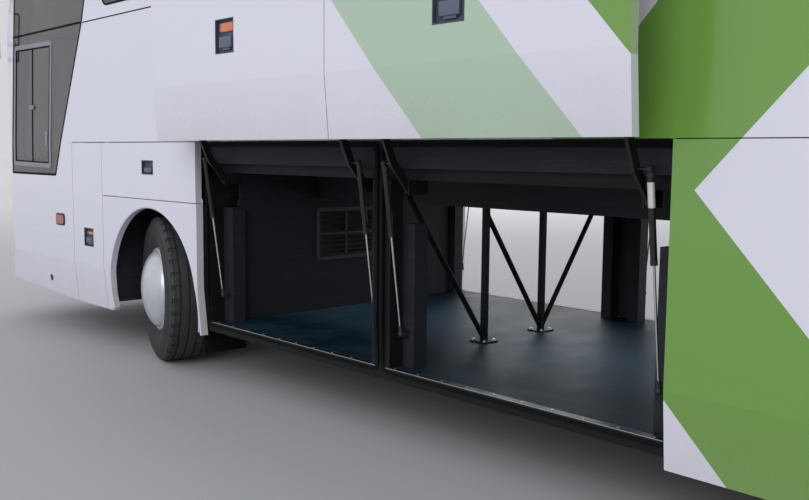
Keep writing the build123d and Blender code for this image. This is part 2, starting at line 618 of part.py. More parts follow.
def add_bay_structure():
    """Bay floor, bulkheads, posts, truss and the arms' covers."""
    x_front, x_mid, x_back = BAY_EDGES
    edge_y = EDGE_Y
    floor = box(x_back, x_front, -edge_y, edge_y, FLOOR_Z - FLOOR_T, FLOOR_Z)
    for side in (1, -1):
        floor += box(x_back, x_front, side * (edge_y - 60), side * edge_y, SKIRT_Z + 30, FLOOR_Z)
    parts["bay_floor"] = floor

    top = DECK_Z - DECK_T - SEAT_GAP
    base = FLOOR_Z + SEAT_GAP
    face = x_front - BULKHEAD_IN
    front = box(face, face + BULKHEAD_T, -COVER_Y[0] + 1, COVER_Y[0] - 1, base,
                GANGWAY_Z - DECK_T - SEAT_GAP)
    vent_y, vent_z, cell = (-150, 250), (780, 1090), 12
    for j in range(2):
        for k in range(2):
            y0 = vent_y[0] + j * (vent_y[1] - vent_y[0]) / 2 + cell
            z0 = vent_z[0] + k * (vent_z[1] - vent_z[0]) / 2 + cell
            y1 = y0 + (vent_y[1] - vent_y[0]) / 2 - 2 * cell
            z1 = z0 + (vent_z[1] - vent_z[0]) / 2 - 2 * cell
            front -= box(face - 1, face + 18, y0, y1, z0, z1)
            for n in range(4):
                z = z0 + (n + 0.5) * (z1 - z0) / 4
                front += box(face + 4, face + 20, y0, y1, z - 4, z + 4)
    back = box(x_back + BULKHEAD_IN - BULKHEAD_T, x_back + BULKHEAD_IN, -COVER_Y[0] + 1,
               COVER_Y[0] - 1, base, GANGWAY_Z - DECK_T - SEAT_GAP)
    parts["bulkheads"] = Compound(children=[front, back])

    # Posts stand under a header that carries the deck's edge, and each arm turns on a pin
    # in a bracket that hangs from the header
    frame = []
    header = (top - HEADER_H, top)
    under = header[0] - SEAT_GAP
    for side in (1, -1):
        outer = edge_y - HEADER_IN
        frame.append(box(x_back, x_front, side * (outer - HEADER_W), side * outer, *header))
        y0, y1 = side * (edge_y - POST_W), side * edge_y
        jamb_y = side * (COVER_Y[0] - 20)
        frame.append(box(x_mid - POST_HALF, x_mid + POST_HALF, y0, y1, base, under))
        frame.append(box(x_front - JAMB_T, x_front, jamb_y, y1, base, under))
        frame.append(box(x_back, x_back + JAMB_T, jamb_y, y1, base, under))
        for i in (0, 1):
            for edge, way in bay_ends(i):
                ax = edge + way * ARM_X
                bx = ax + way * (ARM_T / 2 + 5)
                bracket = box(bx, bx + way * 10, side * (outer - HEADER_W),
                              side * (PIVOT_Y + BOSS_R), PIVOT_Z - BOSS_R, under)
                pin = rod_x(ax - way * (ARM_T / 2 + 3), bx + way * 10, side * PIVOT_Y, PIVOT_Z,
                            PIN_R)
                frame.append(bracket + pin)
    parts["bay_frame"] = Compound(children=frame)

    # The divider stands ahead of the doors' seam: two legs on foot plates, braced in a zigzag
    tx, tube = x_mid + TRUSS_AHEAD, TRUSS_TUBE
    stay_y = edge_y - POST_W - 140
    under = GANGWAY_Z - DECK_T - SEAT_GAP
    truss = bar((tx, TRUSS_Y, under - 30), (tx, -TRUSS_Y, base + tube), tube - 1)
    for side in (1, -1):
        y = side * TRUSS_Y
        truss += box(tx - TRUSS_FOOT, tx + TRUSS_FOOT, y - TRUSS_FOOT, y + TRUSS_FOOT, base,
                     base + 8)
        truss += box(tx - tube, tx + tube, y - tube, y + tube, base, under)
        truss += bar((tx, y, base + tube), (tx, side * stay_y, top - 80), tube - 1)
        truss += box(tx - tube, tx + tube, side * (stay_y - tube), side * (stay_y + 60),
                     top - 110, top)
    parts["bay_truss"] = truss

    covers = []
    for i in (0, 1):
        for edge, way in bay_ends(i):
            start = JAMB_T if i == (0 if way < 0 else 1) else POST_HALF
            c0 = edge + way * (start + SEAT_GAP)
            c1 = edge + way * (ARM_X - ARM_T / 2 - COVER_CLEAR)
            sx = edge + way * STRUT_X
            cover = box(c0, c1, COVER_Y[0], COVER_Y[1], base, COVER_TOP)
            stud = box(sx - 9, sx + 9, COVER_Y[1] - 5, COVER_Y[1] + 12, STUD_Z - 20, STUD_Z + 20)
            ball = rod_x(sx - way * 9, sx + way * 9, STUD_Y, STUD_Z, 6)
            arm = box(sx + way * 9, sx + way * 17, COVER_Y[1] - 5, STUD_Y + 8,
                      STUD_Z - 9, STUD_Z + 9)
            piece = cover + stud + ball + arm
            covers += [piece, other_side(piece)]
    parts["mechanism_covers"] = Compound(children=covers)


def add_deck():
    """Passenger floor with its sunken gangway, the cab floor and steps."""
    g = SEAT_GAP
    edge = HALF - WALL - g
    deck_edge = edge - DECK_IN
    lip = GANGWAY_HALF
    x0, x1 = REAR_CUT + 40, CAB_X - 40
    deck = [box(x0, x1, -lip - DECK_T, lip + DECK_T, GANGWAY_Z - DECK_T, GANGWAY_Z)]
    for side in (1, -1):
        deck.append(box(x0, x1, side * lip, side * (lip + DECK_T), GANGWAY_Z + g, DECK_Z))
        deck.append(box(x0, x1, side * (lip + DECK_T + g), side * deck_edge,
                        DECK_Z - DECK_T, DECK_Z))
        # A kerb closes the deck's edge up to the side wall
        deck.append(box(x0, x1, side * (deck_edge - KERB_T), side * deck_edge, DECK_Z + g,
                        BELT_Z + 20))
    parts["passenger_floor"] = Compound(children=[slab & ROOM for slab in deck])
    first = -HALF + WALL + TUCK + 30
    landing = first + STEP_COUNT * STEP_RUN
    cab = box(CAB_X - 40 + g, NOSE - 120, landing, edge, CAB_FLOOR_Z - 40, CAB_FLOOR_Z)
    cab += box(CAB_X - 40 + g, CAB_X, -edge, edge, CAB_FLOOR_Z - 40, DECK_Z)
    cab += box(ENTRANCE[1] + 60, NOSE - 120, -edge, landing + 10, CAB_FLOOR_Z - 40, CAB_FLOOR_Z)
    rise = (CAB_FLOOR_Z - FIRST_STEP_Z) / STEP_COUNT
    x0, x1 = CAB_X - 40 + g, ENTRANCE[1] + 80
    for k in range(STEP_COUNT):
        y, z = first + k * STEP_RUN, FIRST_STEP_Z + k * rise
        cab += box(x0, x1, y, y + STEP_RUN + 25, z - 25, z)
        cab += box(x0, x1, y + STEP_RUN, y + STEP_RUN + 25, z - 25, z + rise)
    parts["cab_floor"] = cab & ROOM


def add_running_gear():
    """Underframe, axles, knuckles and wheels."""
    rail_y, rail_z, half, g = RAIL_Y, RAIL_Z, RAIL_W / 2, SEAT_GAP
    front_end = BAY_EDGES[0] - BULKHEAD_IN + BULKHEAD_T + g
    rear_end = BAY_EDGES[2] + BULKHEAD_IN - BULKHEAD_T - g
    frame = []
    for x0, x1 in ((front_end, NOSE - 330), (-NOSE + 330, rear_end)):
        for side in (1, -1):
            rail = box(x0, x1, side * (rail_y - half), side * (rail_y + half), *rail_z)
            frame.append(rail - rod_x(NOSE - 330 - TOW_DEPTH, NOSE, side * rail_y, TOW_Z, TOW_R))
    post_xs = (BAY_EDGES[0] + 60, CAB_X - 80, BAY_EDGES[2] - 60, REAR_AXLE + 900,
               REAR_AXLE - 900, -NOSE + 400)
    for x in post_xs:
        for side in (1, -1):
            frame.append(box(x - 30, x + 30, side * (rail_y - half), side * (rail_y + half),
                             rail_z[1] + g, DECK_Z - DECK_T - g))
    for x in (*post_xs, NOSE - 380):
        frame.append(box(x - 40, x + 40, -rail_y + half + g, rail_y - half - g,
                         rail_z[0] + 20, rail_z[1] - 20))
    ends = HALF - WALL - g
    for x in (BAY_EDGES[2] - 60, REAR_AXLE - 900):
        for side in (1, -1):
            frame.append(box(x - 40, x + 40, side * (rail_y + half + g), side * ends,
                             rail_z[0] + 20, rail_z[1] - 20))
    parts["underframe"] = Compound(children=frame)

    half_track, king_y = TRACK_FRONT / 2, KING_Y
    beam = box(FRONT_AXLE - 45, FRONT_AXLE + 45, -king_y + 60, king_y - 60, 360, 460)
    for side in (1, -1):
        beam += box(FRONT_AXLE - 45, FRONT_AXLE + 45, side * (king_y - 130),
                    side * (king_y - 70), 360, 560)
        beam += rod_z(FRONT_AXLE, side * king_y, 470, 574, 42)
        beam += box(FRONT_AXLE - 40, FRONT_AXLE + 40, side * (king_y - 110), side * king_y,
                    480, 560)
        beam += rod_z(FRONT_AXLE, side * king_y, 425, 620, 20)
        for dx in (-260, 260):
            beam += rod_z(FRONT_AXLE + dx, side * rail_y, 440, rail_z[0] - SEAT_GAP, 85)
        beam += box(FRONT_AXLE - 330, FRONT_AXLE + 330, side * (rail_y - 45),
                    side * (rail_y + 45), 400, 450)
    parts["front_axle"] = beam

    knuckle = box(FRONT_AXLE - 60, FRONT_AXLE + 60, king_y + 47, king_y + 90, 420, 625)
    for z0, z1 in ((425, 464), (580, 620)):
        knuckle += box(FRONT_AXLE - 40, FRONT_AXLE + 40, king_y - 30, king_y + 60, z0, z1)
    knuckle -= rod_z(FRONT_AXLE, king_y, 400, 640, 20 + PIN_FIT)
    knuckle += rod_y(FRONT_AXLE, king_y + 80, half_track + 60, TYRE_R, STUB_R)
    knuckle += rod_y(FRONT_AXLE, king_y + 85, king_y + 100, TYRE_R, 200)
    parts["knuckle_left"] = steered(knuckle, 1)
    parts["knuckle_right"] = steered(other_side(knuckle), -1)

    rear_y = REAR_OUTER_Y - TYRE_W / 2 - 20
    axle = rod_y(REAR_AXLE, -rear_y - 79, rear_y + 79, TYRE_R, AXLE_R)
    axle += Pos(REAR_AXLE, 0, TYRE_R) * Sphere(210)
    for side in (1, -1):
        axle += box(REAR_AXLE - 520, REAR_AXLE + 520, side * (rail_y - 45),
                    side * (rail_y + 45), 440, 490)
        for dx in (-430, 430):
            axle += rod_z(REAR_AXLE + dx, side * rail_y, 480, rail_z[0] - SEAT_GAP, 100)
    parts["drive_axle"] = axle

    front = wheel(FRONT_AXLE, half_track, False)
    parts["wheel_front_left"] = steered(front, 1)
    parts["wheel_front_right"] = steered(other_side(front), -1)
    rear = wheel(REAR_AXLE, REAR_OUTER_Y, True)
    parts["wheel_rear_left"] = rear
    parts["wheel_rear_right"] = other_side(rear)


def steered(shape, side):
    """A front wheel's piece, turned about its kingpin to where the steering rests."""
    x, y = FRONT_AXLE, side * KING_Y
    turned = Pos(x, y, 0) * Rot(0, 0, STEER_REST) * Pos(-x, -y, 0)
    if isinstance(shape, Compound) and len(shape.children) > 1:
        return Compound(children=[turned * piece for piece in shape.children])
    return turned * shape


def tyre(x, y):
    """A tyre centred at (x, y), with rounded shoulders."""
    w, r, b = TYRE_W / 2, TYRE_R, RIM_R + SEAT_GAP
    lines = [
        Polyline((y - w + 50, b), (y - w + 30, b + 20), (y - w, (b + r) / 2)),
        ThreePointArc((y - w, (b + r) / 2), (y - w + 8, r - 45), (y - w + 26, r - 12)),
        Line((y - w + 26, r - 12), (y - w + 40, r)),
        Line((y - w + 40, r), (y + w - 40, r)),
        Line((y + w - 40, r), (y + w - 26, r - 12)),
        ThreePointArc((y + w - 26, r - 12), (y + w - 8, r - 45), (y + w, (b + r) / 2)),
        Polyline((y + w, (b + r) / 2), (y + w - 30, b + 20), (y + w - 50, b)),
        Line((y + w - 50, b), (y - w + 50, b)),
    ]
    face = Plane.YZ * make_face(lines)
    return Pos(x, 0, TYRE_R) * revolve(face, Axis.Y)


def rim(x, y, dish):
    """A disc wheel, its disc at dish from the wheel's middle."""
    w, r = TYRE_W / 2 - 50, RIM_R
    points = [(y - w, r), (y + w, r), (y + w, r - 16), (y + dish + 14, r - 20),
              (y + dish + 14, 0), (y + dish, 0), (y + dish, r - 20), (y - w, r - 16)]
    face = Plane.YZ * make_face(Polyline(*points, close=True))
    return Pos(x, 0, TYRE_R) * revolve(face, Axis.Y)


def steered_wheel(x, y):
    """A front wheel's rim, hub and domed cover, turned as one."""
    w, r, base, bulge = TYRE_W / 2 - 50, RIM_R, y + 92, HUB_BULGE
    edge = r - 24
    bore = STUB_R + PIN_FIT
    dome = (edge ** 2 + bulge ** 2) / (2 * bulge)
    crown = base + bulge - dome + (dome ** 2 - (edge / 2) ** 2) ** 0.5
    lines = [Polyline((y - w, r), (y + w, r), (y + w, r - 16), (base, edge)),
             ThreePointArc((base, edge), (crown, edge / 2), (base + bulge, 0)),
             Polyline((base + bulge, 0), (base + 20, 0), (base + 20, bore), (y - 20, bore),
                      (y - 20, 150), (y + 50, 190), (y + 50, edge), (y - w, r - 16),
                      (y - w, r))]
    face = Plane.YZ * make_face(lines)
    return Pos(x, 0, TYRE_R) * revolve(face, Axis.Y)


def wheel(x, y, twin):
    """One wheel, or a twin pair on one hub."""
    if not twin:
        return Compound(children=[tyre(x, y), steered_wheel(x, y)])
    inner_y = y - TWIN_PITCH
    metal = rim(x, y, -70) + rim(x, inner_y, 60) + rod_y(x, inner_y - 40, y - 60, TYRE_R, 150)
    metal -= rod_y(x, inner_y - 200, y - TYRE_W / 2 + 61, TYRE_R, AXLE_R + PIN_FIT)
    return Compound(children=[tyre(x, y), tyre(x, inner_y), metal])


def add_inside():
    """Seats, dashboard with its wheel, engine, housings, mirrors and roof unit."""
    g = SEAT_GAP
    seats = []
    outline = [(0, 0), (430, 0), (460, 60), (440, 130), (110, 110), (20, 700), (-60, 720),
               (-120, 680), (-60, 120), (-60, 40)]
    for row in range(SEAT_ROWS):
        x = FRONT_AXLE + 560 - row * SEAT_PITCH
        for side in (1, -1):
            y0, y1 = side * (GANGWAY_HALF + 60), side * (HALF - WALL - 60)
            face = make_face(Polyline(*[(x + a, DECK_Z + 340 + b) for a, b in outline], close=True))
            seat = extrude(Plane.XZ.offset(-max(y0, y1)) * face, abs(y1 - y0))
            foot = box(x + 60, x + 300, y0 + side * 300, y0 + side * 360, DECK_Z + g, DECK_Z + 350)
            seats.append(seat + foot)
    face = make_face(Polyline(*[(NOSE - 1500 + a, CAB_FLOOR_Z + 420 + b) for a, b in outline],
                              close=True))
    chair = extrude(Plane.XZ.offset(-950) * face, 500)
    seats.append(chair + rod_z(NOSE - 1300, 700, CAB_FLOOR_Z + g, CAB_FLOOR_Z + 440, 110))
    parts["seats"] = Compound(children=seats)

    dash = box(NOSE - 560, NOSE - 330, -300, 1020, CAB_FLOOR_Z + 300, CAB_FLOOR_Z + 480)
    dash += box(NOSE - 520, NOSE - 350, -250, 980, CAB_FLOOR_Z + g, CAB_FLOOR_Z + 320)
    wheel_at = Plane(origin=(NOSE - 760, 700, CAB_FLOOR_Z + 620), z_dir=(-0.5, 0, 0.86))
    ring = wheel_at * Torus(225, 14)
    ring += wheel_at * Cylinder(40, 20)
    for a in (90, 210, 330):
        ring += wheel_at * Rot(0, 0, a) * Pos(115, 0, 0) * Box(230, 22, 12)
    column = bar((NOSE - 760, 700, CAB_FLOOR_Z + 620), (NOSE - 520, 700, CAB_FLOOR_Z + 330), 28)
    parts["dashboard"] = dash + ring + column

    beside = RAIL_Y - RAIL_W / 2 - g
    parts["engine"] = box(-NOSE + ENGINE_IN, REAR_AXLE - ENGINE_AHEAD, -beside, beside, *ENGINE_Z)

    housings = []
    r, t = ARCH_R + 12, HOUSING_T
    for axle, y_in in ((FRONT_AXLE, TRACK_FRONT / 2 - 560), (REAR_AXLE, REAR_OUTER_Y - 545)):
        shell = box(axle - r, axle + r, y_in, HALF, SKIRT_Z + 60, HOUSING_TOP)
        shell -= box(axle - r + t, axle + r - t, y_in + t, HALF + 10, 0, HOUSING_TOP - t)
        shell -= box(axle - 200, axle + 200, 0, y_in + 2 * t, 0, AXLE_SLOT_Z)
        shell &= ROOM
        housings += [shell, other_side(shell)]
    parts["wheel_housings"] = Compound(children=housings)

    arms = []
    head_z = (SCREEN_TOP_Z - 1020, SCREEN_TOP_Z - 560)
    for side in (1, -1):
        arm = bar((FRONT_CUT - 60, side * (HALF - 85), SCREEN_TOP_Z - 350),
                  (NOSE - 50, side * (HALF + 55), head_z[1] - 30), 22)
        arm += box(NOSE - 90, NOSE - 20, side * (HALF - 45), side * (HALF + 175), *head_z)
        arms.append(arm - AROUND)
    parts["mirrors"] = Compound(children=arms)

    unit = box(REAR_AXLE + 350, REAR_AXLE + 3350, -HALF + 475, HALF - 475, HEIGHT - 20, HEIGHT + 120)
    unit -= AROUND
    parts["roof_unit"] = unit


add_body_shell()
add_glass()
add_side_flaps()
add_buffers()
add_bay_doors()
add_bay_structure()
add_deck()
add_running_gear()
add_inside()

for name, shape in parts.items():
    export_step(shape, "parts/" + name + ".step")

print("arm travel", round(ARM_TRAVEL, 3), "pivot z", round(PIVOT_Z, 3))
print("strut open", round(STRUT_OPEN, 2), "shut", round(STRUT_SHUT, 2), "turn", round(STRUT_TURN, 3))
print("crank", [round(v, 3) for v in CRANK], "lug", LUG_HIGH)
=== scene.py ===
"""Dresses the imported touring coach: paint, glass, rubber, lamps, tyres and trim."""

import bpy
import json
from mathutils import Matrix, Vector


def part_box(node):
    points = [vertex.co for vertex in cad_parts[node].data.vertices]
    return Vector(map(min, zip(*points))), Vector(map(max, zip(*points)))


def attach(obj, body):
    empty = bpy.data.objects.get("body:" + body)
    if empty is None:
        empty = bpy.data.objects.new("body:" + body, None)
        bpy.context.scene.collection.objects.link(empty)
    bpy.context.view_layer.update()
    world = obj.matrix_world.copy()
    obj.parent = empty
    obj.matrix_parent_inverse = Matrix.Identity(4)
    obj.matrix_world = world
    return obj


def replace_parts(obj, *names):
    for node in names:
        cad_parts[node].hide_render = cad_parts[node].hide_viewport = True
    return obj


bl_info = {
    "name": "Touring coach dressing",
    "version": (1, 0, 0),
    "blender": (4, 5, 0),
    "location": "View3D > Sidebar > Coach",
    "description": "Finishes and fittings for a touring coach with raised luggage doors",
    "category": "Add Mesh",
}

import json
from math import atan2, cos, hypot, pi, radians, sin

import bmesh
import bpy
from mathutils import Matrix, Vector
from mathutils.bvhtree import BVHTree

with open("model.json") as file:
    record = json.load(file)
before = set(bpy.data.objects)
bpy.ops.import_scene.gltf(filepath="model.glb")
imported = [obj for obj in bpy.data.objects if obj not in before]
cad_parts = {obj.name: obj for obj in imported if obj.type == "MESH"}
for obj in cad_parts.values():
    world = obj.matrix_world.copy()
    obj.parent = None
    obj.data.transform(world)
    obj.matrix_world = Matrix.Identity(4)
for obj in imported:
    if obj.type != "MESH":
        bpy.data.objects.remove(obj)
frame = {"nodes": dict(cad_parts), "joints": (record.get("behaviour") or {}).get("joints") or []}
NODES = frame["nodes"]
JOINTS = {joint["name"]: joint for joint in frame["joints"]}
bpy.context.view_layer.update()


def joint_spot(name):
    """Where a joint's axis passes."""
    return Vector(JOINTS[name]["pos_m"])


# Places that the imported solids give, in metres
KING = joint_spot("steer_left")
HUB = joint_spot("roll_front_left")
AXLE_LINE = Vector(JOINTS["roll_front_left"]["axis"])
FRONT_AXLE = KING.x
FRONT_Y = KING.y + hypot(HUB.x - KING.x, HUB.y - KING.y)
REAR_LOW, REAR_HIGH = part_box("wheel_rear_left")
REAR_AXLE = (REAR_LOW.x + REAR_HIGH.x) / 2
TYRE_R = (REAR_HIGH.z - REAR_LOW.z) / 2
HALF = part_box("skirt_front_left")[1].y
FLOOR_BACK, FLOOR_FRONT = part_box("bay_floor")
DOOR_LOW, DOOR_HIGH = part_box("bay_door_left_2")
DOOR_OUT = DOOR_HIGH.y - HALF
BELT_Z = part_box("side_wall_left")[0].z
SKIRT_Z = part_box("skirt_front_left")[0].z
LIFT = DOOR_LOW.z - SKIRT_Z
BAY_EDGES = [FLOOR_FRONT.x, (FLOOR_FRONT.x + FLOOR_BACK.x) / 2, FLOOR_BACK.x]
VENT_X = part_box("bulkheads")[1].x - 0.03
BULKHEAD_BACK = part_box("bulkheads")[0].x + 0.03

# Sizes that the source gives, in metres
REAR_Y = (1.085, 0.75)
RIM_R = 0.2925
RIM_HALF = 0.0975
SKIN = 0.045
PANEL_GAP = 0.006
SEAL_Y = 1.214
LATCH_DEPTH = 0.022
STRUT_X = 0.1
STUD_Z = 0.575
ARM_X = 0.165
ARM_FOOT_Y = 1.15
ARM_HEAD = (1.47, 1.93)
TUBE_LENGTH = 0.3786
COVER_BULGE = 0.11
TRUSS_X = 0.1
TRUSS_Y = 0.27
ARCH_R = 0.64
ARCH_Z = 0.48
SKIRT_BENDS = (0.28, 0.62)
GLASS_TOP = 3.25
WINDOW_Z = (2.59, 3.39)
WINDOWS_X = (3.87, -5.59)
WINDOW_COUNT = 6
PILLAR = 0.07
ENTRANCE = (4.474, 5.314)
MIDDLE_DOOR = (-2.16, -1.44)
DOOR_TOP = 2.48
CAB_CORNERS = [(4.736, 1.304), (4.216, 2.5), (3.944, 3.394), (5.604, 3.394), (5.704, 1.304)]
GUIDE_CORNERS = [(4.196, 2.556), (3.944, 3.394), (5.604, 3.394), (5.654, 2.556)]
PANE_CORNERS = [(5.655, 1.377), (5.615, 2.424), (4.792, 2.412), (4.83, 1.366)]
SEAT_PITCH = 0.79
SEAT_ROWS = 11
SEAT_FLOOR = 1.82
SEATS_Y = (0.5615, 0.9635)

SIDES = (("left", 1), ("right", -1))
BOTH = (1, -1)
MERGE = 0.00001


# Shader building

def operation(kind, swap=False):
    """A method of Field that adds one Math node, its values swapped where asked."""
    def method(self, *others):
        return self.finish.maths(kind, *((*others, self) if swap else (self, *others)))
    return method


class Field:
    """A value that varies over a surface, with arithmetic that adds its Math nodes."""

    def __init__(self, finish, socket):
        self.finish = finish
        self.socket = socket

    __add__ = __radd__ = operation("ADD")
    __sub__ = operation("SUBTRACT")
    __rsub__ = operation("SUBTRACT", swap=True)
    __mul__ = __rmul__ = operation("MULTIPLY")
    __truediv__ = operation("DIVIDE")
    __mod__ = operation("FLOORED_MODULO")
    __abs__ = operation("ABSOLUTE")
    min = operation("MINIMUM")
    max = operation("MAXIMUM")
    sign = operation("SIGN")
    root = operation("SQRT")

    def __neg__(self):
        return self * -1.0

    def clamp(self):
        return self.finish.maths("ADD", self, 0.0, clamp=True)

    def step(self, width=0.001):
        """0 below nought and 1 above, over a narrow edge."""
        return self.finish.maths("MULTIPLY_ADD", self, 1 / width, 0.5, clamp=True)

    def zigzag(self, rate):
        """Up and down between 0 and 1 along the value."""
        return abs((self * rate) % 2.0 - 1.0)


class Finish:
    """One material under construction, around a Principled shader."""

    def __init__(self, name, **settings):
        self.material = bpy.data.materials.new(name)
        self.material.use_nodes = True
        self.tree = self.material.node_tree
        self.shader = self.tree.nodes["Principled BSDF"]
        self.spot = self.node("ShaderNodeTexCoord").outputs
        self.set(**settings)

    def set(self, **settings):
        """Sets or links the shader's sockets, named with underscores."""
        for key, value in settings.items():
            self.plug(self.shader.inputs[key.replace("_", " ")], value)
        return self

    def plug(self, socket, value):
        """Links a field or socket to an input, or sets the input's own value."""
        if isinstance(value, Field):
            value = value.socket
        if isinstance(value, bpy.types.NodeSocket):
            self.tree.links.new(value, socket)
        elif hasattr(value, "__len__") and len(value) == 3 and socket.type == "RGBA":
            socket.default_value = (*value, 1.0)
        else:
            socket.default_value = value

    def node(self, kind, settings=None, inputs=None):
        """Adds a node, sets its settings, then its sockets by name or number."""
        made = self.tree.nodes.new(kind)
        for key, value in (settings or {}).items():
            setattr(made, key, value)
        for key, value in (inputs or {}).items():
            self.plug(made.inputs[key], value)
        return made

    def maths(self, kind, *values, clamp=False):
        settings = {"operation": kind, "use_clamp": clamp}
        made = self.node("ShaderNodeMath", settings, dict(enumerate(values)))
        return Field(self, made.outputs[0])

    def xyz(self, which="Object"):
        """The object's own coordinates, or its normal's."""
        made = self.node("ShaderNodeSeparateXYZ", None, {0: self.spot[which]})
        return [Field(self, output) for output in made.outputs]

    def texture(self, kind, output, stretch, **inputs):
        """A texture in the object's own coordinates, stretched."""
        spot = self.node("ShaderNodeMapping", None, {
            "Vector": self.spot["Object"], "Scale": stretch}).outputs[0]
        return Field(self, self.node(kind, None, {"Vector": spot, **inputs}).outputs[output])

    def noise(self, scale, detail=3.0, roughness=0.5, stretch=(1, 1, 1)):
        return self.texture("ShaderNodeTexNoise", 0, stretch, Scale=scale, Detail=detail,
                            Roughness=roughness)

    def cells(self, scale):
        return self.texture("ShaderNodeTexVoronoi", "Distance", (1, 1, 1), Scale=scale)

    def mix(self, factor, first, second):
        """A colour between two, each a tuple or a socket."""
        made = self.node("ShaderNodeMix", {"data_type": "RGBA"}, {0: factor, 6: first, 7: second})
        return made.outputs[2]

    def bump(self, height, strength=0.2, distance=0.001):
        """Gives the surface its relief. Returns the finished material."""
        made = self.node("ShaderNodeBump", None, {
            "Height": height, "Strength": strength, "Distance": distance})
        self.set(Normal=made.outputs[0])
        return self.material


def blend(factor, first, second):
    """A number between two."""
    return first + factor * (second - first)


def tint(*values):
    """A colour given as the eye sees it, from 0 to 255, in linear light."""
    shares = [value / 255 for value in values]
    return tuple(s / 12.92 if s <= 0.04045 else ((s + 0.055) / 1.055) ** 2.4 for s in shares)


def scaled(colour, by, extra=0.0):
    """A lighter or darker shade."""
    return tuple(min(1, c * by + extra) for c in colour)


WHITE = tint(220, 218, 231)
PALE_GREEN = tint(172, 193, 172)
LEAF_GREEN = tint(108, 152, 66)
DUST = tint(150, 143, 132)
LINER = tint(206, 204, 198)

# Where the paint changes, in metres
NOSE_X = 5.35
MIDDLE_Z = 1.9
ROOF_Z = 3.2
DUST_Z = (0.25, 0.85)
CHEVRON_Z = 1.39
CHEVRON_SLOPE = 0.92
PALE_BAND = (0.25, 1.105)
GREEN_BANDS = ((-1.066, -0.228), (-2.43, -1.57))
TAIL_END = -2.93


def grime(f, z, colour):
    """Road dust over the lower body: the dusted colour, and how much dust there is."""
    low, high = DUST_Z
    cloud = f.noise(3.0, 5.0, 0.6)
    fine = f.noise(60.0, 2.0)
    height = ((high - z) / (high - low)).clamp()
    share = (height * height * (cloud * 1.3) * (0.6 + 0.5 * fine) * 0.35).clamp()
    return f.mix(share, colour, DUST), share


def livery(f, x, z):
    """White with forward-pointing chevrons: a pale one, then green ones towards the tail."""
    along = x + CHEVRON_SLOPE * abs(z - CHEVRON_Z)
    pale, green, third = [(along - back).step() * (front - along).step()
                          for back, front in (PALE_BAND, *GREEN_BANDS)]
    tail = (TAIL_END - along).step()
    colour = f.mix(pale, WHITE, PALE_GREEN)
    return f.mix((green + third + tail).clamp(), colour, LEAF_GREEN)


def coach_paint(name, plain=None, raised=0.0):
    """Gloss coach paint outside and pale lining inside, in the livery or one plain colour.

    On a raised door the livery is raised too. The roof's upward faces are duller and greyer: partly
    settled dust, partly a painted shade that tones down the lamps' strong light there.
    """
    f = Finish(name, Roughness=0.24, Coat_Roughness=0.04)
    x, y, z = f.xyz()
    nx, ny, nz = f.xyz("Normal")
    colour, dust = grime(f, z - raised, plain or livery(f, x, z - raised))
    if raised:
        outward = ny * y.sign()
    else:
        ends = (abs(x) - NOSE_X).max(0.0) * x.sign() * 3.0
        outward = nx * ends + ny * y + nz * (z - MIDDLE_Z)
    inner = (-outward).step(0.05)
    # Upward faces near the roof: greyer and less glossy, partly settled dust and partly a painted
    # shade against the strong light on the roof.
    settled = ((nz - 0.8) * 6.0).clamp() * (z - ROOF_Z).step(0.4)
    f.set(Base_Color=f.mix(settled * 0.18, f.mix(inner, colour, LINER), DUST),
          Coat_Weight=0.7 - 0.62 * settled,
          Roughness=blend(inner.max(dust * 1.5).max(settled).clamp(), 0.22, 0.6))
    return f.bump(f.noise(220.0, 1.0), 0.03, 0.0004)


def tinted_glass(name, colour=(0.035, 0.04, 0.038), alpha=0.72, ripple=0.004):
    """Dark bonded glazing, faintly rippled."""
    f = Finish(name, Base_Color=colour, Roughness=0.03, Coat_Weight=0.5, Alpha=alpha,
               Specular_IOR_Level=0.8)
    return f.bump(f.noise(1.3, 1.0), 0.02, ripple)


def plain_steel(name, colour, roughness=0.45, metallic=0.0, grain=90.0, depth=0.15, gloss=0.5):
    """Painted or bare metal with a fine grain and a little wear."""
    f = Finish(name, Metallic=metallic, Specular_IOR_Level=gloss)
    grainy = f.noise(grain, 4.0, 0.6)
    worn = (f.noise(7.0, 5.0, 0.65) - 0.55).max(0.0) * 2.2
    f.set(Base_Color=f.mix(worn.clamp(), colour, scaled(colour, 1.5, 0.02)),
          Roughness=(roughness + 0.2 * (grainy - 0.5)).clamp())
    return f.bump(grainy, depth, 0.0006)


def moulded(name, colour, roughness=0.55, grain=320.0, depth=0.25, gloss=0.5):
    """Grained moulded plastic."""
    f = Finish(name, Specular_IOR_Level=gloss)
    patch = f.noise(5.0, 3.0)
    f.set(Base_Color=f.mix(patch, colour, scaled(colour, 1.35)),
          Roughness=(roughness + 0.25 * (patch - 0.5)).clamp())
    return f.bump(f.cells(grain), depth, 0.0005)


def bay_lining(name):
    """Charcoal lining board, scuffed by luggage."""
    f = Finish(name, Specular_IOR_Level=0.3)
    fibre = f.noise(260.0, 4.0, 0.7)
    scuff = f.noise(9.0, 6.0, 0.7, (0.4, 0.4, 3.0))
    rubbed = ((scuff - 0.56) * 6.0).clamp() * 0.5
    f.set(Base_Color=f.mix(rubbed, tint(34, 36, 42), tint(60, 62, 66)),
          Roughness=(0.62 + 0.25 * (fibre - 0.5)).clamp())
    return f.bump(fibre, 0.3, 0.0006)


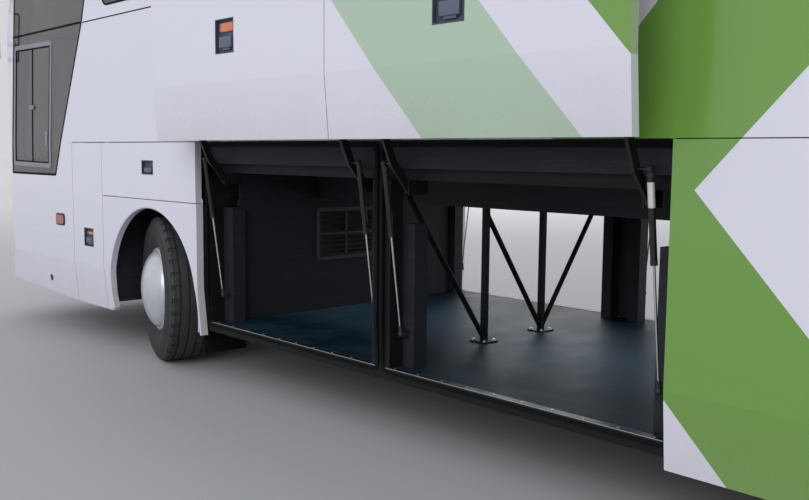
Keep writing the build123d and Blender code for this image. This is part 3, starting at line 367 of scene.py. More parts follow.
def floor_covering(name):
    """Blue-grey rubber floor covering with fine raised studs, dust and rub marks, in painted light:
    a dark bluish painted shade by the doorways, a lighter painted sunlit tone towards the middle of
    the bay, and a dark painted shade on the faces below its top.
    """
    f = Finish(name, Specular_IOR_Level=0.15)
    x, y, z = f.xyz()
    pitch, radius, top = 0.014, 0.004, 0.388
    u, v = x % pitch - pitch / 2, y % pitch - pitch / 2
    stud = (radius - (u * u + v * v).root()).step(0.001)
    dusty = f.noise(5.0, 6.0, 0.65, (1.0, 0.5, 1.0))
    streak = f.noise(14.0, 4.0, 0.6, (0.25, 2.0, 1.0))
    # Painted light: the floor turns lighter towards the middle of the bay, away from the doorways
    # on both sides.
    middle = ((0.8 - abs(y)) * 1.4).clamp()
    share = (((dusty - 0.4) * 1.6 + (streak - 0.5) * 0.6).clamp() * 0.3 + middle * 0.55).clamp()
    # The colour runs from a dark bluish painted shade to a lighter painted sunlit tone. Dust and
    # rub marks add to the lighter share.
    colour = f.mix(share, tint(10, 32, 46), tint(84, 122, 146))
    # Faces below the floor's top, such as its front apron, take a dark painted shade.
    f.set(Base_Color=f.mix((z - top).step(0.002), tint(24, 26, 28), colour),
          Roughness=(0.38 + 0.3 * dusty - 0.05 * stud).clamp())
    return f.bump(stud, 0.1, 0.0004)


def tyre_rubber(name, centre, spread, line):
    """Tyre rubber with moulded sidewall rings, greyer where it meets the road.

    centre is a point (x, y) of the left wheel's axle, spread how far it stands ahead of the
    mean of both sides', and line the axle's direction in plan.
    """
    f = Finish(name)
    x, y, z = f.xyz()
    left = y.sign()
    dx, dy, dz = x - centre[0] - left * spread, y - left * centre[1], z - TYRE_R
    along = dx * line[0] + dy * line[1]
    radius = (dx * dx + dy * dy + dz * dz - along * along).root()
    dust = f.noise(14.0, 5.0, 0.65)
    tread = (radius - (TYRE_R - 0.04)).step(0.02)
    colour = f.mix((dust * (0.2 + 0.4 * tread)).clamp(), tint(30, 29, 33), tint(86, 82, 82))
    fine = ((radius * 420.0) % 6.283 - 3.14).min(1.0).max(-1.0)
    broad = (((radius - 0.43) * 60.0) % 6.283 - 3.14).min(0.6).max(-0.6)
    f.set(Base_Color=colour, Roughness=(0.66 + 0.25 * (dust - 0.5)).clamp())
    relief = fine * (1 - tread) * 0.3 + broad * 0.2 + f.noise(300.0, 2.0)
    return f.bump(relief, 0.2, 0.0006)


def wheel_silver(name):
    """Silver wheel enamel, dusty in patches."""
    f = Finish(name, Coat_Weight=0.4, Coat_Roughness=0.12)
    share = ((f.noise(10.0, 6.0, 0.65) - 0.45) * 2.0).clamp() * 0.5
    f.set(Base_Color=f.mix(share, tint(202, 204, 211), tint(142, 138, 134)),
          Roughness=(0.3 + 0.35 * share).clamp(), Metallic=blend(share, 0.35, 0.05))
    return f.bump(f.noise(180.0, 2.0), 0.08, 0.0005)


def lamp_plastic(name, colour, rib=260.0):
    """Coloured lamp lens with moulded ribs behind its face."""
    f = Finish(name, Roughness=0.12, Coat_Weight=1.0)
    x, y, z = f.xyz()
    pattern = (y.zigzag(rib) * z.zigzag(rib)).clamp()
    f.set(Base_Color=f.mix(pattern, scaled(colour, 0.65), colour))
    return f.bump(pattern, 0.2, 0.0006)


def seat_cloth(name):
    """Woven seat moquette in slate with a fine stripe."""
    f = Finish(name, Roughness=0.85, Sheen_Weight=0.3)
    x, y, z = f.xyz()
    stripe = (y.zigzag(16.0) - 0.82).step(0.06)
    speckle = (f.noise(130.0, 2.0) - 0.58).step(0.05)
    colour = f.mix(stripe, tint(52, 62, 84), tint(120, 160, 90))
    f.set(Base_Color=f.mix((speckle * 0.5).clamp(), colour, tint(150, 150, 158)))
    return f.bump(f.cells(420.0), 0.4, 0.0008)


def instrument_face(name):
    """A dark dial with pale ticks."""
    f = Finish(name, Roughness=0.2)
    x, y, z = f.xyz()
    ticks, rows = [(axis.zigzag(140.0) - 0.9).step(0.05) for axis in (y, z)]
    f.set(Base_Color=f.mix((ticks * rows).clamp(), tint(16, 17, 19), tint(220, 222, 214)))
    return f.bump(f.noise(90.0, 2.0), 0.05, 0.0004)


def mirror_glass(name):
    """Silvered glass, faintly uneven."""
    f = Finish(name, Base_Color=(0.8, 0.82, 0.85), Metallic=1.0, Roughness=0.02)
    return f.bump(f.noise(2.0, 1.0), 0.01, 0.001)


# Each finish: its slot in the record, its maker, the material's name, and the maker's settings
FINISHES = {
    "body_paint": ("body_paint", coach_paint, "coach_paint"),
    "door_paint": ("body_paint", coach_paint, "raised_door_paint", None, LIFT),
    "roof_paint": ("body_paint", coach_paint, "roof_paint", WHITE),
    "tail_paint": ("body_paint", coach_paint, "tail_paint", LEAF_GREEN),
    "moulding_white": ("body_paint", coach_paint, "moulding_white", WHITE),
    "plate": ("body_paint", plain_steel, "blank_plate", tint(214, 214, 206), 0.35, 0.0, 200.0,
              0.1),
    "side_glass": ("dark_glass", tinted_glass, "side_glass"),
    "door_glass": ("dark_glass", tinted_glass, "door_glass", (0.012, 0.014, 0.014), 1.0, 0.001),
    "front_glass": ("clear_glass", tinted_glass, "front_glass", (0.10, 0.12, 0.11), 0.45, 0.0008),
    "frit": ("dark_glass", moulded, "fired_border", tint(18, 20, 21), 0.25, 900.0, 0.02),
    "black_steel": ("black_steel", plain_steel, "chassis_black", tint(19, 20, 24), 0.55, 0.0,
                    90.0, 0.15, 0.25),
    "strut_black": ("black_steel", plain_steel, "strut_black", tint(22, 23, 25), 0.32),
    "strut_chrome": ("strut_steel", plain_steel, "strut_chrome", (0.72, 0.73, 0.75), 0.14, 1.0,
                     400.0, 0.02),
    "bare_alloy": ("strut_steel", plain_steel, "bare_alloy", (0.62, 0.63, 0.65), 0.34, 0.9, 240.0,
                   0.05),
    "label": ("strut_steel", plain_steel, "label_silver", (0.7, 0.7, 0.68), 0.4, 0.4),
    "window_grey": ("strut_steel", plain_steel, "window_frame_grey", tint(138, 137, 146), 0.4,
                    0.2, 300.0, 0.05),
    "mirror": ("strut_steel", mirror_glass, "mirror_glass"),
    "silver": ("strut_steel", wheel_silver, "wheel_silver"),
    "iron": ("engine_iron", plain_steel, "engine_iron", tint(86, 88, 92), 0.6, 0.3, 60.0, 0.5),
    "lining": ("bay_lining", bay_lining, "bay_lining"),
    "vent_grey": ("bay_lining", plain_steel, "vent_grey", tint(58, 59, 63), 0.5, 0.1),
    "floor": ("floor_cover", floor_covering, "floor_covering"),
    "cloth": ("seat_fabric", seat_cloth, "seat_cloth"),
    "tyre_front": ("tyre", tyre_rubber, "tyre_front", (FRONT_AXLE, HUB.y), HUB.x - FRONT_AXLE,
                   (AXLE_LINE.x, AXLE_LINE.y)),
    "tyre_rear": ("tyre", tyre_rubber, "tyre_rear", (REAR_AXLE, REAR_Y[0]), 0.0, (0.0, 1.0)),
    "lamp_clear": ("lamp_lens", lamp_plastic, "lamp_clear", (0.8, 0.82, 0.85)),
    "lamp_glass": ("lamp_lens", lamp_plastic, "lamp_beam", (0.62, 0.64, 0.68), 900.0),
    "lamp_red": ("lamp_lens", lamp_plastic, "lamp_red", tint(190, 20, 18)),
    "lamp_amber": ("lamp_lens", lamp_plastic, "lamp_amber", tint(232, 110, 30)),
    "lamp_orange": ("lamp_lens", lamp_plastic, "repeater_orange", tint(178, 78, 72), 700.0),
    "reflector": ("lamp_lens", lamp_plastic, "reflector_orange", tint(236, 120, 70), 700.0),
    "rubber": ("trim_plastic", moulded, "seal_rubber", tint(14, 14, 17), 0.7, 500.0, 0.12, 0.12),
    "plastic": ("trim_plastic", moulded, "black_plastic", tint(32, 33, 35)),
    "shell_grey": ("trim_plastic", moulded, "seat_shell_grey", tint(120, 120, 124), 0.5),
    "pull": ("trim_plastic", moulded, "latch_grey", tint(80, 90, 106), 0.4, 600.0, 0.1),
    "cup_grey": ("trim_plastic", moulded, "latch_cup_grey", tint(58, 67, 82), 0.5, 600.0, 0.1),
    "dial": ("trim_plastic", instrument_face, "instrument_face"),
}
MADE = {}

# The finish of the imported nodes, by the first match with the start of their names
NODE_FINISHES = {
    "side_wall": "body_paint", "skirt": "body_paint", "wheel_hatch": "body_paint",
    "service_flap": "body_paint", "passenger_doors": "body_paint", "front_mask": "body_paint",
    "bumper_front": "body_paint", "rear_mask": "tail_paint", "engine_lid": "tail_paint",
    "roof": "roof_paint", "bay_door": "door_paint", "side_windows": "side_glass",
    "windscreen": "front_glass", "lamps": "lamp_clear", "bay_floor": "floor",
    "cab_floor": "floor", "bay_frame": "black_steel", "bay_truss": "black_steel",
    "underframe": "black_steel", "front_axle": "black_steel", "drive_axle": "black_steel",
    "knuckle": "black_steel", "door_arms": "strut_black", "strut_tubes": "strut_black",
    "strut_rods": "strut_chrome", "bulkheads": "lining", "mechanism_covers": "lining",
    "passenger_floor": "lining", "wheel_housings": "lining", "wheel_front": "tyre_front",
    "wheel_rear": "tyre_rear", "mirrors": "plastic", "dashboard": "plastic", "seats": "cloth",
    "engine": "iron",
}


def finish(name):
    """A shared material, made when it is first asked for."""
    if name not in MADE:
        maker, *settings = FINISHES[name][1:]
        MADE[name] = maker(*settings)
    return MADE[name]


# Mesh building

def start():
    """A new mesh to build in."""
    return bmesh.new()


def starts(count):
    """Several new meshes."""
    return [start() for k in range(count)]


def mesh_of(part, name):
    """Turns a finished part into a mesh."""
    mesh = bpy.data.meshes.new(name)
    part.to_mesh(mesh)
    part.free()
    return mesh


def join(bm, part):
    """Adds a finished part to a piece."""
    mesh = mesh_of(part, "part")
    bm.from_mesh(mesh)
    bpy.data.meshes.remove(mesh)


def bevel(bm, geom, radius, segments=3, affect="EDGES"):
    """Rounds edges or corners. Only on edges is the radius kept to what fits."""
    bmesh.ops.bevel(bm, geom=geom, offset=radius, offset_type="OFFSET", segments=segments,
                    profile=0.5, affect=affect, material=-1, clamp_overlap=affect == "EDGES")


def spin(bm, points, centre, axis, steps, closed=False, angle=2 * pi):
    """Spins an outline of points about an axis."""
    verts = [bm.verts.new(point) for point in points]
    ends = verts[1:] + verts[:1] if closed else verts[1:]
    edges = [bm.edges.new(pair) for pair in zip(verts, ends)]
    bmesh.ops.spin(bm, geom=verts + edges, cent=centre, axis=axis, dvec=(0, 0, 0), angle=angle,
                   steps=steps, use_merge=angle == 2 * pi)


def lathe(bm, profile, x, steps=96):
    """Spins an outline of (radius, y) points about a wheel's axle at x."""
    points = [(x + r, y, TYRE_R) for r, y in profile]
    spin(bm, points, (x, 0, TYRE_R), (0, 1, 0), steps)


def barrel(bm, profile, y, z, steps=28):
    """Spins an outline of (radius, x) points about a line along X."""
    spin(bm, [(x, y + r, z) for r, x in profile], (0, y, z), (1, 0, 0), steps)


def block(bm, low, high):
    """A box between two corners. Returns its vertices."""
    low, high = Vector(low), Vector(high)
    made = bmesh.ops.create_cube(bm, size=1.0)["verts"]
    bmesh.ops.scale(bm, vec=[abs(c) for c in high - low], verts=made)
    bmesh.ops.translate(bm, vec=(low + high) / 2, verts=made)
    return made


def turned(bm, verts, centre, degrees, axis):
    """Turns some vertices about a line through a point."""
    turn = Matrix.Rotation(radians(degrees), 3, axis)
    bmesh.ops.rotate(bm, verts=verts, cent=centre, matrix=turn)


def rounded_block(bm, low, high, radius):
    """A box with rounded edges."""
    part = start()
    block(part, low, high)
    bevel(part, part.edges[:], radius)
    join(bm, part)


def outwards(side, near, far):
    """The two y of a span on one side, the lesser first, from distances measured outwards."""
    return sorted((side * near, side * far))


def side_rounded(bm, side, x0, x1, near, far, z0, z1, radius):
    """A box with rounded edges on one side, its y measured outwards."""
    y0, y1 = outwards(side, near, far)
    rounded_block(bm, (x0, y0, z0), (x1, y1, z1), radius)


def aimed(at, way):
    """A placement at a point that turns Z along a direction."""
    return Matrix.Translation(at) @ way.to_track_quat("Z", "Y").to_matrix().to_4x4()


def rod(bm, p, q, radius, sides=16, end=None):
    """A round bar between two points, that narrows or widens where its end's radius is given."""
    p, q = Vector(p), Vector(q)
    made = bmesh.ops.create_cone(bm, cap_ends=True, segments=sides, radius1=radius,
                                 radius2=end or radius, depth=(q - p).length)["verts"]
    bmesh.ops.transform(bm, matrix=aimed((p + q) / 2, q - p), verts=made)


def stud(bm, side, x, z, near, far, radius, sides=16):
    """A short round bar that stands out from one side."""
    rod(bm, (x, side * near, z), (x, side * far, z), radius, sides)


def sleeve(bm, p, q, outer, inner, sides=20):
    """A round bar with a bore through it."""
    p, q = Vector(p), Vector(q)
    length = (q - p).length
    part = start()
    spin(part, [(outer, 0, 0), (outer, 0, length), (inner, 0, length), (inner, 0, 0)], (0, 0, 0),
         (0, 0, 1), sides, closed=True)
    bmesh.ops.transform(part, matrix=aimed(p, q - p), verts=part.verts)
    join(bm, part)


def bent_bar(bm, points, radius, sides=12):
    """A round bar that bends through points, its ends closed."""
    points = [Vector(p) for p in points]
    last = len(points) - 1
    part = start()
    rings = []
    for k, at in enumerate(points):
        ahead = (points[min(k + 1, last)] - points[max(k - 1, 0)]).normalized()
        ring = bmesh.ops.create_circle(part, segments=sides, radius=radius,
                                       cap_ends=k in (0, last))["verts"]
        bmesh.ops.transform(part, matrix=aimed(at, ahead), verts=ring)
        rings.append(set(ring))
    loops = [[e for e in part.edges if set(e.verts) <= ring] for ring in rings]
    for first, second in zip(loops, loops[1:]):
        bmesh.ops.bridge_loops(part, edges=first + second)
    join(bm, part)


def oblong(u0, u1, v0, v1):
    return [(u0, v0), (u1, v0), (u1, v1), (u0, v1)]


def around(u, v, du, dv):
    """The corners of an oblong about a point, from its half sizes."""
    return oblong(u - du, u + du, v - dv, v + dv)


def circle(u, v, radius, count, first=0.0):
    """Points spaced round a circle, from an angle in radians on."""
    angles = [first + 2 * pi * k / count for k in range(count)]
    return [(u + radius * cos(angle), v + radius * sin(angle)) for angle in angles]


def slice_at(part, axis, value):
    """Cuts every face that crosses a plane."""
    spot, normal = Vector(), Vector()
    spot[axis] = value
    normal[axis] = 1
    bmesh.ops.bisect_plane(part, geom=part.verts[:] + part.edges[:] + part.faces[:],
                           plane_co=spot, plane_no=normal, dist=MERGE)


def sheet(axes, corners, radius=0.0, width=None, cut=None):
    """A flat face with rounded corners, or a frame of a given width, in two of the three axes.

    Where cut is given, the sheet is sliced that often both ways so that it can follow a curve.
    """
    part = start()
    verts = []
    for corner in corners:
        vert = part.verts.new()
        for axis, value in zip(axes, corner):
            vert.co[axis] = value
        verts.append(vert)
    part.faces.new(verts)
    if radius:
        bevel(part, verts, radius, 6, "VERTICES")
    if width:
        border = set(bmesh.ops.inset_region(part, faces=part.faces[:], thickness=width,
                                            use_boundary=True, use_even_offset=True)["faces"])
        middle = [face for face in part.faces if face not in border]
        bmesh.ops.delete(part, geom=middle, context="FACES_ONLY")
    if cut:
        for axis in axes:
            places = [v.co[axis] for v in part.verts]
            low, high = min(places), max(places)
            count = int((high - low) / cut)
            for k in range(1, count + 1):
                slice_at(part, axis, low + k * (high - low) / (count + 1))
    return part


def thicken(part, place, depth):
    """Gives a flat sheet its thickness: place(co, d) is a point's spot, d under the surface."""
    made = bmesh.ops.extrude_face_region(part, geom=part.faces[:])["geom"]
    back = {v for v in made if isinstance(v, bmesh.types.BMVert)}
    for v in part.verts:
        v.co = place(v.co, depth if v in back else 0.0)
    return part


def body_y(z):
    """The outer skin's half width at a height, as the section in the source has it."""
    low, high = SKIRT_BENDS
    if z < BELT_Z:
        return HALF - 0.03 * min(max((high - z) / (high - low), 0.0), 1.0)
    return HALF - 0.042 * (z - BELT_Z) / (GLASS_TOP - BELT_Z)


def side_sheet(bm, side, corners, radius=0.0, width=None, depth=0.01, proud=0.002, y_of=body_y,
               shift=0.0):
    """A rounded panel or frame that lies on the coach's side, from its (x, z) corners."""
    part = sheet((0, 2), corners, radius, width)
    for z in (*SKIRT_BENDS, BELT_Z):
        slice_at(part, 2, z + shift)

    def place(co, d):
        return Vector((co.x, side * (y_of(co.z - shift) + proud - d), co.z))
    join(bm, thicken(part, place, depth))


class Skin:
    """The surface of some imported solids, seen along an axis, for laying trim on it."""

    def __init__(self, way, *nodes):
        self.axis = [abs(c) > 0 for c in way].index(True)
        self.way = Vector(way)
        bm = start()
        for node in nodes:
            bm.from_mesh(NODES[node].data)
        self.tree = BVHTree.FromBMesh(bm)
        bm.free()

    def spot(self, co):
        """The surface's outermost point over a point, or the nearest one to it."""
        far = co + self.way * (9 - co.dot(self.way))
        spot = self.tree.ray_cast(far, -self.way, 12.0)[0]
        return self.tree.find_nearest(co + self.way * 6)[0] if spot is None else spot

    def lay(self, bm, corners, radius=0.0, width=None, depth=0.006, proud=0.002, cut=0.06):
        """Adds a rounded panel or frame that follows the surface."""
        part = sheet([k for k in range(3) if k != self.axis], corners, radius, width, cut)

        def place(co, d):
            co = co.copy()
            co[self.axis] = self.spot(co)[self.axis]
            return co + self.way * (proud - d)
        join(bm, thicken(part, place, depth))


def turn_outward(bm):
    """Points every closed part's faces outwards: what it encloses comes out positive."""
    bmesh.ops.recalc_face_normals(bm, faces=bm.faces)
    left = set(bm.faces)
    inward = []
    while left:
        part = [left.pop()]
        for face in part:
            for edge in face.edges:
                for other in edge.link_faces:
                    if other in left:
                        left.remove(other)
                        part.append(other)
        at = part[0].verts[0].co.copy()
        volume = 0.0
        for face in part:
            first, *rest = [v.co - at for v in face.verts]
            volume += sum(first.dot(b.cross(c)) for b, c in zip(rest, rest[1:]))
        if volume < 0:
            inward += part
    bmesh.ops.reverse_faces(bm, faces=inward)


def piece(bm, name, material, body="coach"):
    """Makes the object: merged, normals outward, shaded, riding on its body."""
    bmesh.ops.remove_doubles(bm, verts=bm.verts, dist=MERGE)
    turn_outward(bm)
    mesh = mesh_of(bm, name)
    mesh.materials.append(finish(material))
    mesh.shade_smooth()
    mesh.set_sharp_from_angle(angle=radians(35))
    obj = bpy.data.objects.new(name, mesh)
    bpy.context.scene.collection.objects.link(obj)
    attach(obj, body)
    return obj


def sizes():
    """The sizes that a user may change."""
    return bpy.context.scene.coach_sizes


# Wheels

def tyre_outline(y, out):
    """A tyre's outline of (radius, y) points, with three tread grooves, out to the road face."""
    depth, top = sizes().tread_depth, TYRE_R - 0.0003
    wall = [(RIM_R, -RIM_HALF), (RIM_R + 0.02, -0.1175), (0.37, -0.139), (0.395, -0.1465),
            (0.415, -0.1445), (0.44, -0.1465), (top - 0.045, -0.1405), (top - 0.012, -0.1215),
            (top, -0.1075)]
    points = wall[:]
    for groove in (-0.062, 0.0, 0.062):
        points += [(top, groove - 0.0065), (top - depth, groove - 0.0035),
                   (top - depth, groove + 0.0035), (top, groove + 0.0065)]
    points += [(r, -across) for r, across in reversed(wall)] + wall[:1]
    return [(r, y + across * out) for r, across in points]


def tyre_mesh(bm, x, y, out):
    """One tyre, its tread cut across at the shoulders."""
    steps, every = 108, 3
    lathe(bm, tyre_outline(y, out), x, steps)
    bmesh.ops.remove_doubles(bm, verts=bm.verts, dist=MERGE)
    bmesh.ops.recalc_face_normals(bm, faces=bm.faces)
    cuts = []
    for face in bm.faces:
        c = face.calc_center_median()
        step = int((atan2(c.z - TYRE_R, c.x - x) + pi) / (2 * pi) * steps)
        on_shoulder = 0.069 < abs(c.y - y) < 0.125
        if on_shoulder and hypot(c.x - x, c.z - TYRE_R) > TYRE_R - 0.009 and step % every == 0:
            cuts.append(face)
    bmesh.ops.inset_individual(bm, faces=cuts, thickness=0.0016, depth=-0.008,
                               use_even_offset=True)


def front_wheel(side_name, side):
    """The steered wheel and its domed cover, built straight ahead and turned as at rest."""
    body = "wheel_front_" + side_name
    kingpin = Matrix.Translation(joint_spot("steer_" + side_name))
    turn = kingpin @ Matrix.Rotation(atan2(-AXLE_LINE.x, AXLE_LINE.y), 4, "Z") @ kingpin.inverted()
    tyre, cover = starts(2)
    tyre_mesh(tyre, FRONT_AXLE, side * FRONT_Y, side)
    base, edge = 0.118, 0.279
    outline = [(0.0, 0.0), (0.06, 0.0), (0.06, -0.02), (0.15, -0.015), (0.19, 0.03),
               (0.262, 0.02), (0.276, -RIM_HALF), (RIM_R, -RIM_HALF), (RIM_R, 0.078),
               (0.3, 0.080), (0.3, 0.108), (0.2975, 0.1165), (0.292, 0.1205), (0.286, 0.1205),
               (edge + 0.004, base)]
    for k in range(12):
        angle = k / 12 * pi / 2
        outline.append((edge * cos(angle),
                        base - 0.006 + (COVER_BULGE + 0.0055) * sin(angle) ** 1.15))
    outline.append((0.0, base + COVER_BULGE - 0.0005))
    lathe(cover, [(r, side * (FRONT_Y + out)) for r, out in outline], FRONT_AXLE)
    for x, z in circle(FRONT_AXLE, TYRE_R, 0.29, 5, 0.3):
        stud(cover, side, x, z, FRONT_Y + 0.117, FRONT_Y + 0.1235, 0.0045, 6)
    for bm in (tyre, cover):
        bmesh.ops.transform(bm, matrix=turn, verts=bm.verts)
    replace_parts(piece(tyre, "tyre_front_" + side_name, "tyre_front", body), body)
    piece(cover, "wheel_cover_" + side_name, "silver", body)


def rear_wheels(side_name, side):
    """The twin wheels on their hub, with nuts in the outer wheel's dish."""
    body = "wheel_rear_" + side_name
    tyres, rims = starts(2)
    for y in REAR_Y:
        tyre_mesh(tyres, REAR_AXLE, side * y, side)
    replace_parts(piece(tyres, "tyres_rear_" + side_name, "tyre_rear", body), body)
    outer, inner = REAR_Y
    dish = [(RIM_R, -RIM_HALF), (RIM_R, RIM_HALF), (0.276, RIM_HALF), (0.272, 0.02),
            (0.262, -0.035), (0.235, -0.052), (0.20, -0.056), (0.155, -0.056), (0.15, -0.03),
            (0.105, -0.03), (0.10, 0.045), (0.085, 0.06), (0.0, 0.064)]
    behind = [(RIM_R, -RIM_HALF), (0.276, -RIM_HALF), (0.27, -0.07), (0.1, -0.075), (0.0, -0.075)]
    second = [(RIM_R, RIM_HALF), (RIM_R, -RIM_HALF), (0.276, -RIM_HALF), (0.262, 0.045),
              (0.15, 0.05), (0.15, -0.09), (0.0, -0.09)]
    link = [(RIM_R, RIM_HALF), (0.276, RIM_HALF), (0.262, 0.075), (0.15, 0.075), (0.15, 0.26),
            (0.0, 0.26)]
    for y, profile in ((outer, dish), (outer, behind), (inner, second), (inner, link)):
        lathe(rims, [(r, side * (y + out)) for r, out in profile], REAR_AXLE, 72)
    count = sizes().nut_count
    for x, z in circle(REAR_AXLE, TYRE_R, 0.1775, count):
        stud(rims, side, x, z, outer - 0.058, outer - 0.03, 0.0165, 6)
        stud(rims, side, x, z, outer - 0.03, outer - 0.008, 0.011, 10)
    for x, z in circle(REAR_AXLE, TYRE_R, 0.075, count, pi / count):
        stud(rims, side, x, z, outer + 0.055, outer + 0.068, 0.007, 6)
    piece(rims, "rims_rear_" + side_name, "silver", body)


# Luggage bays

BAY_SPANS = [(back + PANEL_GAP / 2, front - PANEL_GAP / 2)
             for front, back in zip(BAY_EDGES, BAY_EDGES[1:])]


def seal_y(z):
    """The face of a doorway's rubber seal, clear of the shut door's own seal."""
    return min(SEAL_Y, body_y(z) - SKIN - 0.0125)


def doorways():
    """Rubber round the doorways, strips over their sills, and bolt heads up the posts."""
    seals, sills, bolts = starts(3)
    for side in BOTH:
        for x0, x1 in BAY_SPANS:
            side_sheet(seals, side, oblong(x0 + 0.006, x1 - 0.006, 0.362, BELT_Z - 0.012), 0.05,
                       sizes().seal_width, 0.016, 0.0, seal_y)
            sill(sills, bolts, side, x0, x1)
        for x in (BAY_EDGES[2] + 0.02, BAY_EDGES[1], BAY_EDGES[0] - 0.02):
            post_bolts(bolts, side, x)
    piece(seals, "bay_opening_seals", "rubber")
    piece(sills, "bay_sill_strips", "strut_black")
    piece(bolts, "bay_bolts", "bare_alloy")


def sill(bm, bolts, side, x0, x1):
    """An angle over the floor's edge, held by small screws, with two thin alloy beads that paint a
    highlight along its edges.
    """
    edge, floor = FLOOR_FRONT.y, FLOOR_FRONT.z
    back, outer, top, foot = edge - 0.045, edge + 0.0022, floor + 0.003, floor - 0.028
    section = [(back, floor), (back, top), (outer, top), (outer, foot), (edge, foot),
               (edge, floor)]
    part = sheet((1, 2), [(side * y, z) for y, z in section])
    join(bm, thicken(part, lambda co, d: Vector((x0 + 0.03 + d, co.y, co.z)), x1 - x0 - 0.06))
    # Two thin alloy beads along the sill: a painted highlight on the floor's edge.
    for y, z in ((edge - 0.046, floor + 0.0015), (edge + 0.001, floor + 0.003)):
        rod(bolts, (x0 + 0.03, side * y, z), (x1 - 0.03, side * y, z), 0.0017, 8)
    for k in range(10):
        x, y = x0 + 0.09 + k * (x1 - x0 - 0.18) / 9, side * (edge - 0.022)
        rod(bolts, (x, y, floor + 0.002), (x, y, floor + 0.0055), 0.0065, 8)


def post_bolts(bm, side, x):
    """Bolt heads up a post's inner face, in pairs on the middle one."""
    middle = x == BAY_EDGES[1]
    inner = 1.102 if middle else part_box("bay_frame")[1].y - 0.212
    for z in (0.62, 0.88, 1.12):
        for dx in (-0.028, 0.028) if middle else (-0.008,):
            stud(bm, side, x + dx, z, inner, inner - 0.006, 0.0085, 6)


def vent():
    """A framed grille of four louvred cells over the opening in the front bulkhead."""
    bars, blades = starts(2)
    back, face = VENT_X - 0.011, VENT_X - 0.0005
    y0, y1, z0, z1 = -0.165, 0.345, 0.765, 1.105
    for grow, width in ((0.018, 0.018), (0.0, 0.008)):
        corners = oblong(y0 - grow, y1 + grow, z0 - grow, z1 + grow)
        join(bars, thicken(sheet((1, 2), corners, 0.01, width),
                           lambda co, d: Vector((back + d, co.y, co.z)), 0.0105))
    ym, zm, half = (y0 + y1) / 2, (z0 + z1) / 2, 0.009
    rounded_block(bars, (back, y0, zm - half), (face, y1, zm + half), 0.002)
    rounded_block(bars, (back, ym - half, z0), (face, ym + half, z1), 0.002)
    for k in range(10):
        z = z0 + 0.018 + k * (z1 - z0 - 0.036) / 9
        blade = block(blades, (VENT_X - 0.0085, y0 + 0.006, z - 0.009),
                      (VENT_X - 0.0065, y1 - 0.006, z + 0.005))
        turned(blades, blade, (VENT_X - 0.0075, 0, z), 28, "Y")
    piece(bars, "vent_frame", "vent_grey")
    piece(blades, "vent_blades", "plastic")


def bay_inside():
    """Lining boards on the bulkheads, strips on the middle posts, lamps, and foot plate bolts."""
    boards, bases, lenses, bolts = starts(4)
    middle = BAY_EDGES[1]
    for side in BOTH:
        for x in (VENT_X, BULKHEAD_BACK - 0.012):
            side_rounded(boards, side, x, x + 0.012, 0.345, 0.999, 1.2008, 1.4392, 0.0015)
        side_rounded(boards, side, middle - 0.0698, middle + 0.0698, 1.088, 1.1035, 0.3915, 1.149,
                     0.002)
    under = 1.4395
    for x0, x1 in BAY_SPANS:
        x = (x0 + x1) / 2 + 0.05
        for y in (-0.62, 0.62):
            rounded_block(bases, (x - 0.11, y - 0.05, under - 0.016), (x + 0.11, y + 0.05, under),
                          0.006)
            rounded_block(lenses, (x - 0.095, y - 0.038, under - 0.026),
                          (x + 0.095, y + 0.038, under - 0.01), 0.008)
    for foot in (-TRUSS_Y, TRUSS_Y):
        for x, y in around(middle + TRUSS_X, foot, 0.042, 0.042):
            rod(bolts, (x, y, 0.398), (x, y, 0.409), 0.009, 6)
            rod(bolts, (x, y, 0.397), (x, y, 0.4), 0.013, 14)
    piece(boards, "bay_lining_boards", "lining")
    piece(bases, "bay_lamp_bases", "plastic")
    piece(lenses, "bay_lamp_lenses", "lamp_clear")
    piece(bolts, "truss_bolts", "bare_alloy")


# Luggage doors and flaps

def raised_y(z):
    """A raised door's inner face, from its height when shut."""
    return body_y(z) + DOOR_OUT - SKIN


def door(side_name, side, number, x0, x1):
    """A raised door's inner seals and stiffening strips, and its latch."""
    body = "bay_door_%s_%d" % (side_name, number)
    seals, strips = starts(2)
    foot, middle = SKIRT_Z + LIFT, (x0 + x1) / 2
    for inset, width, depth in ((0.022, 0.018, 0.0105), (0.052, 0.006, 0.006)):
        corners = oblong(x0 + inset, x1 - inset, foot + inset, BELT_Z + LIFT - PANEL_GAP - inset)
        side_sheet(seals, side, corners, 0.04, width, depth, 0.0, raised_y, LIFT)
    side_sheet(strips, side, oblong(x0 + 0.05, x1 - 0.05, foot + 0.004, foot + 0.016), 0.0, None,
               0.004, 0.0, raised_y, LIFT)
    for x in (x0 + 0.28, middle, x1 - 0.28):
        side_sheet(strips, side, oblong(x - 0.03, x + 0.03, foot + 0.08, BELT_Z + LIFT - 0.09),
                   0.01, None, 0.004, 0.0, raised_y, LIFT)
    piece(seals, body + "_seal", "rubber", body)
    piece(strips, body + "_stiffeners", "bare_alloy", body)
    latch(body, side, middle + 0.03, foot + 0.57, 0.19, 0.19, HALF + DOOR_OUT, 0.05)


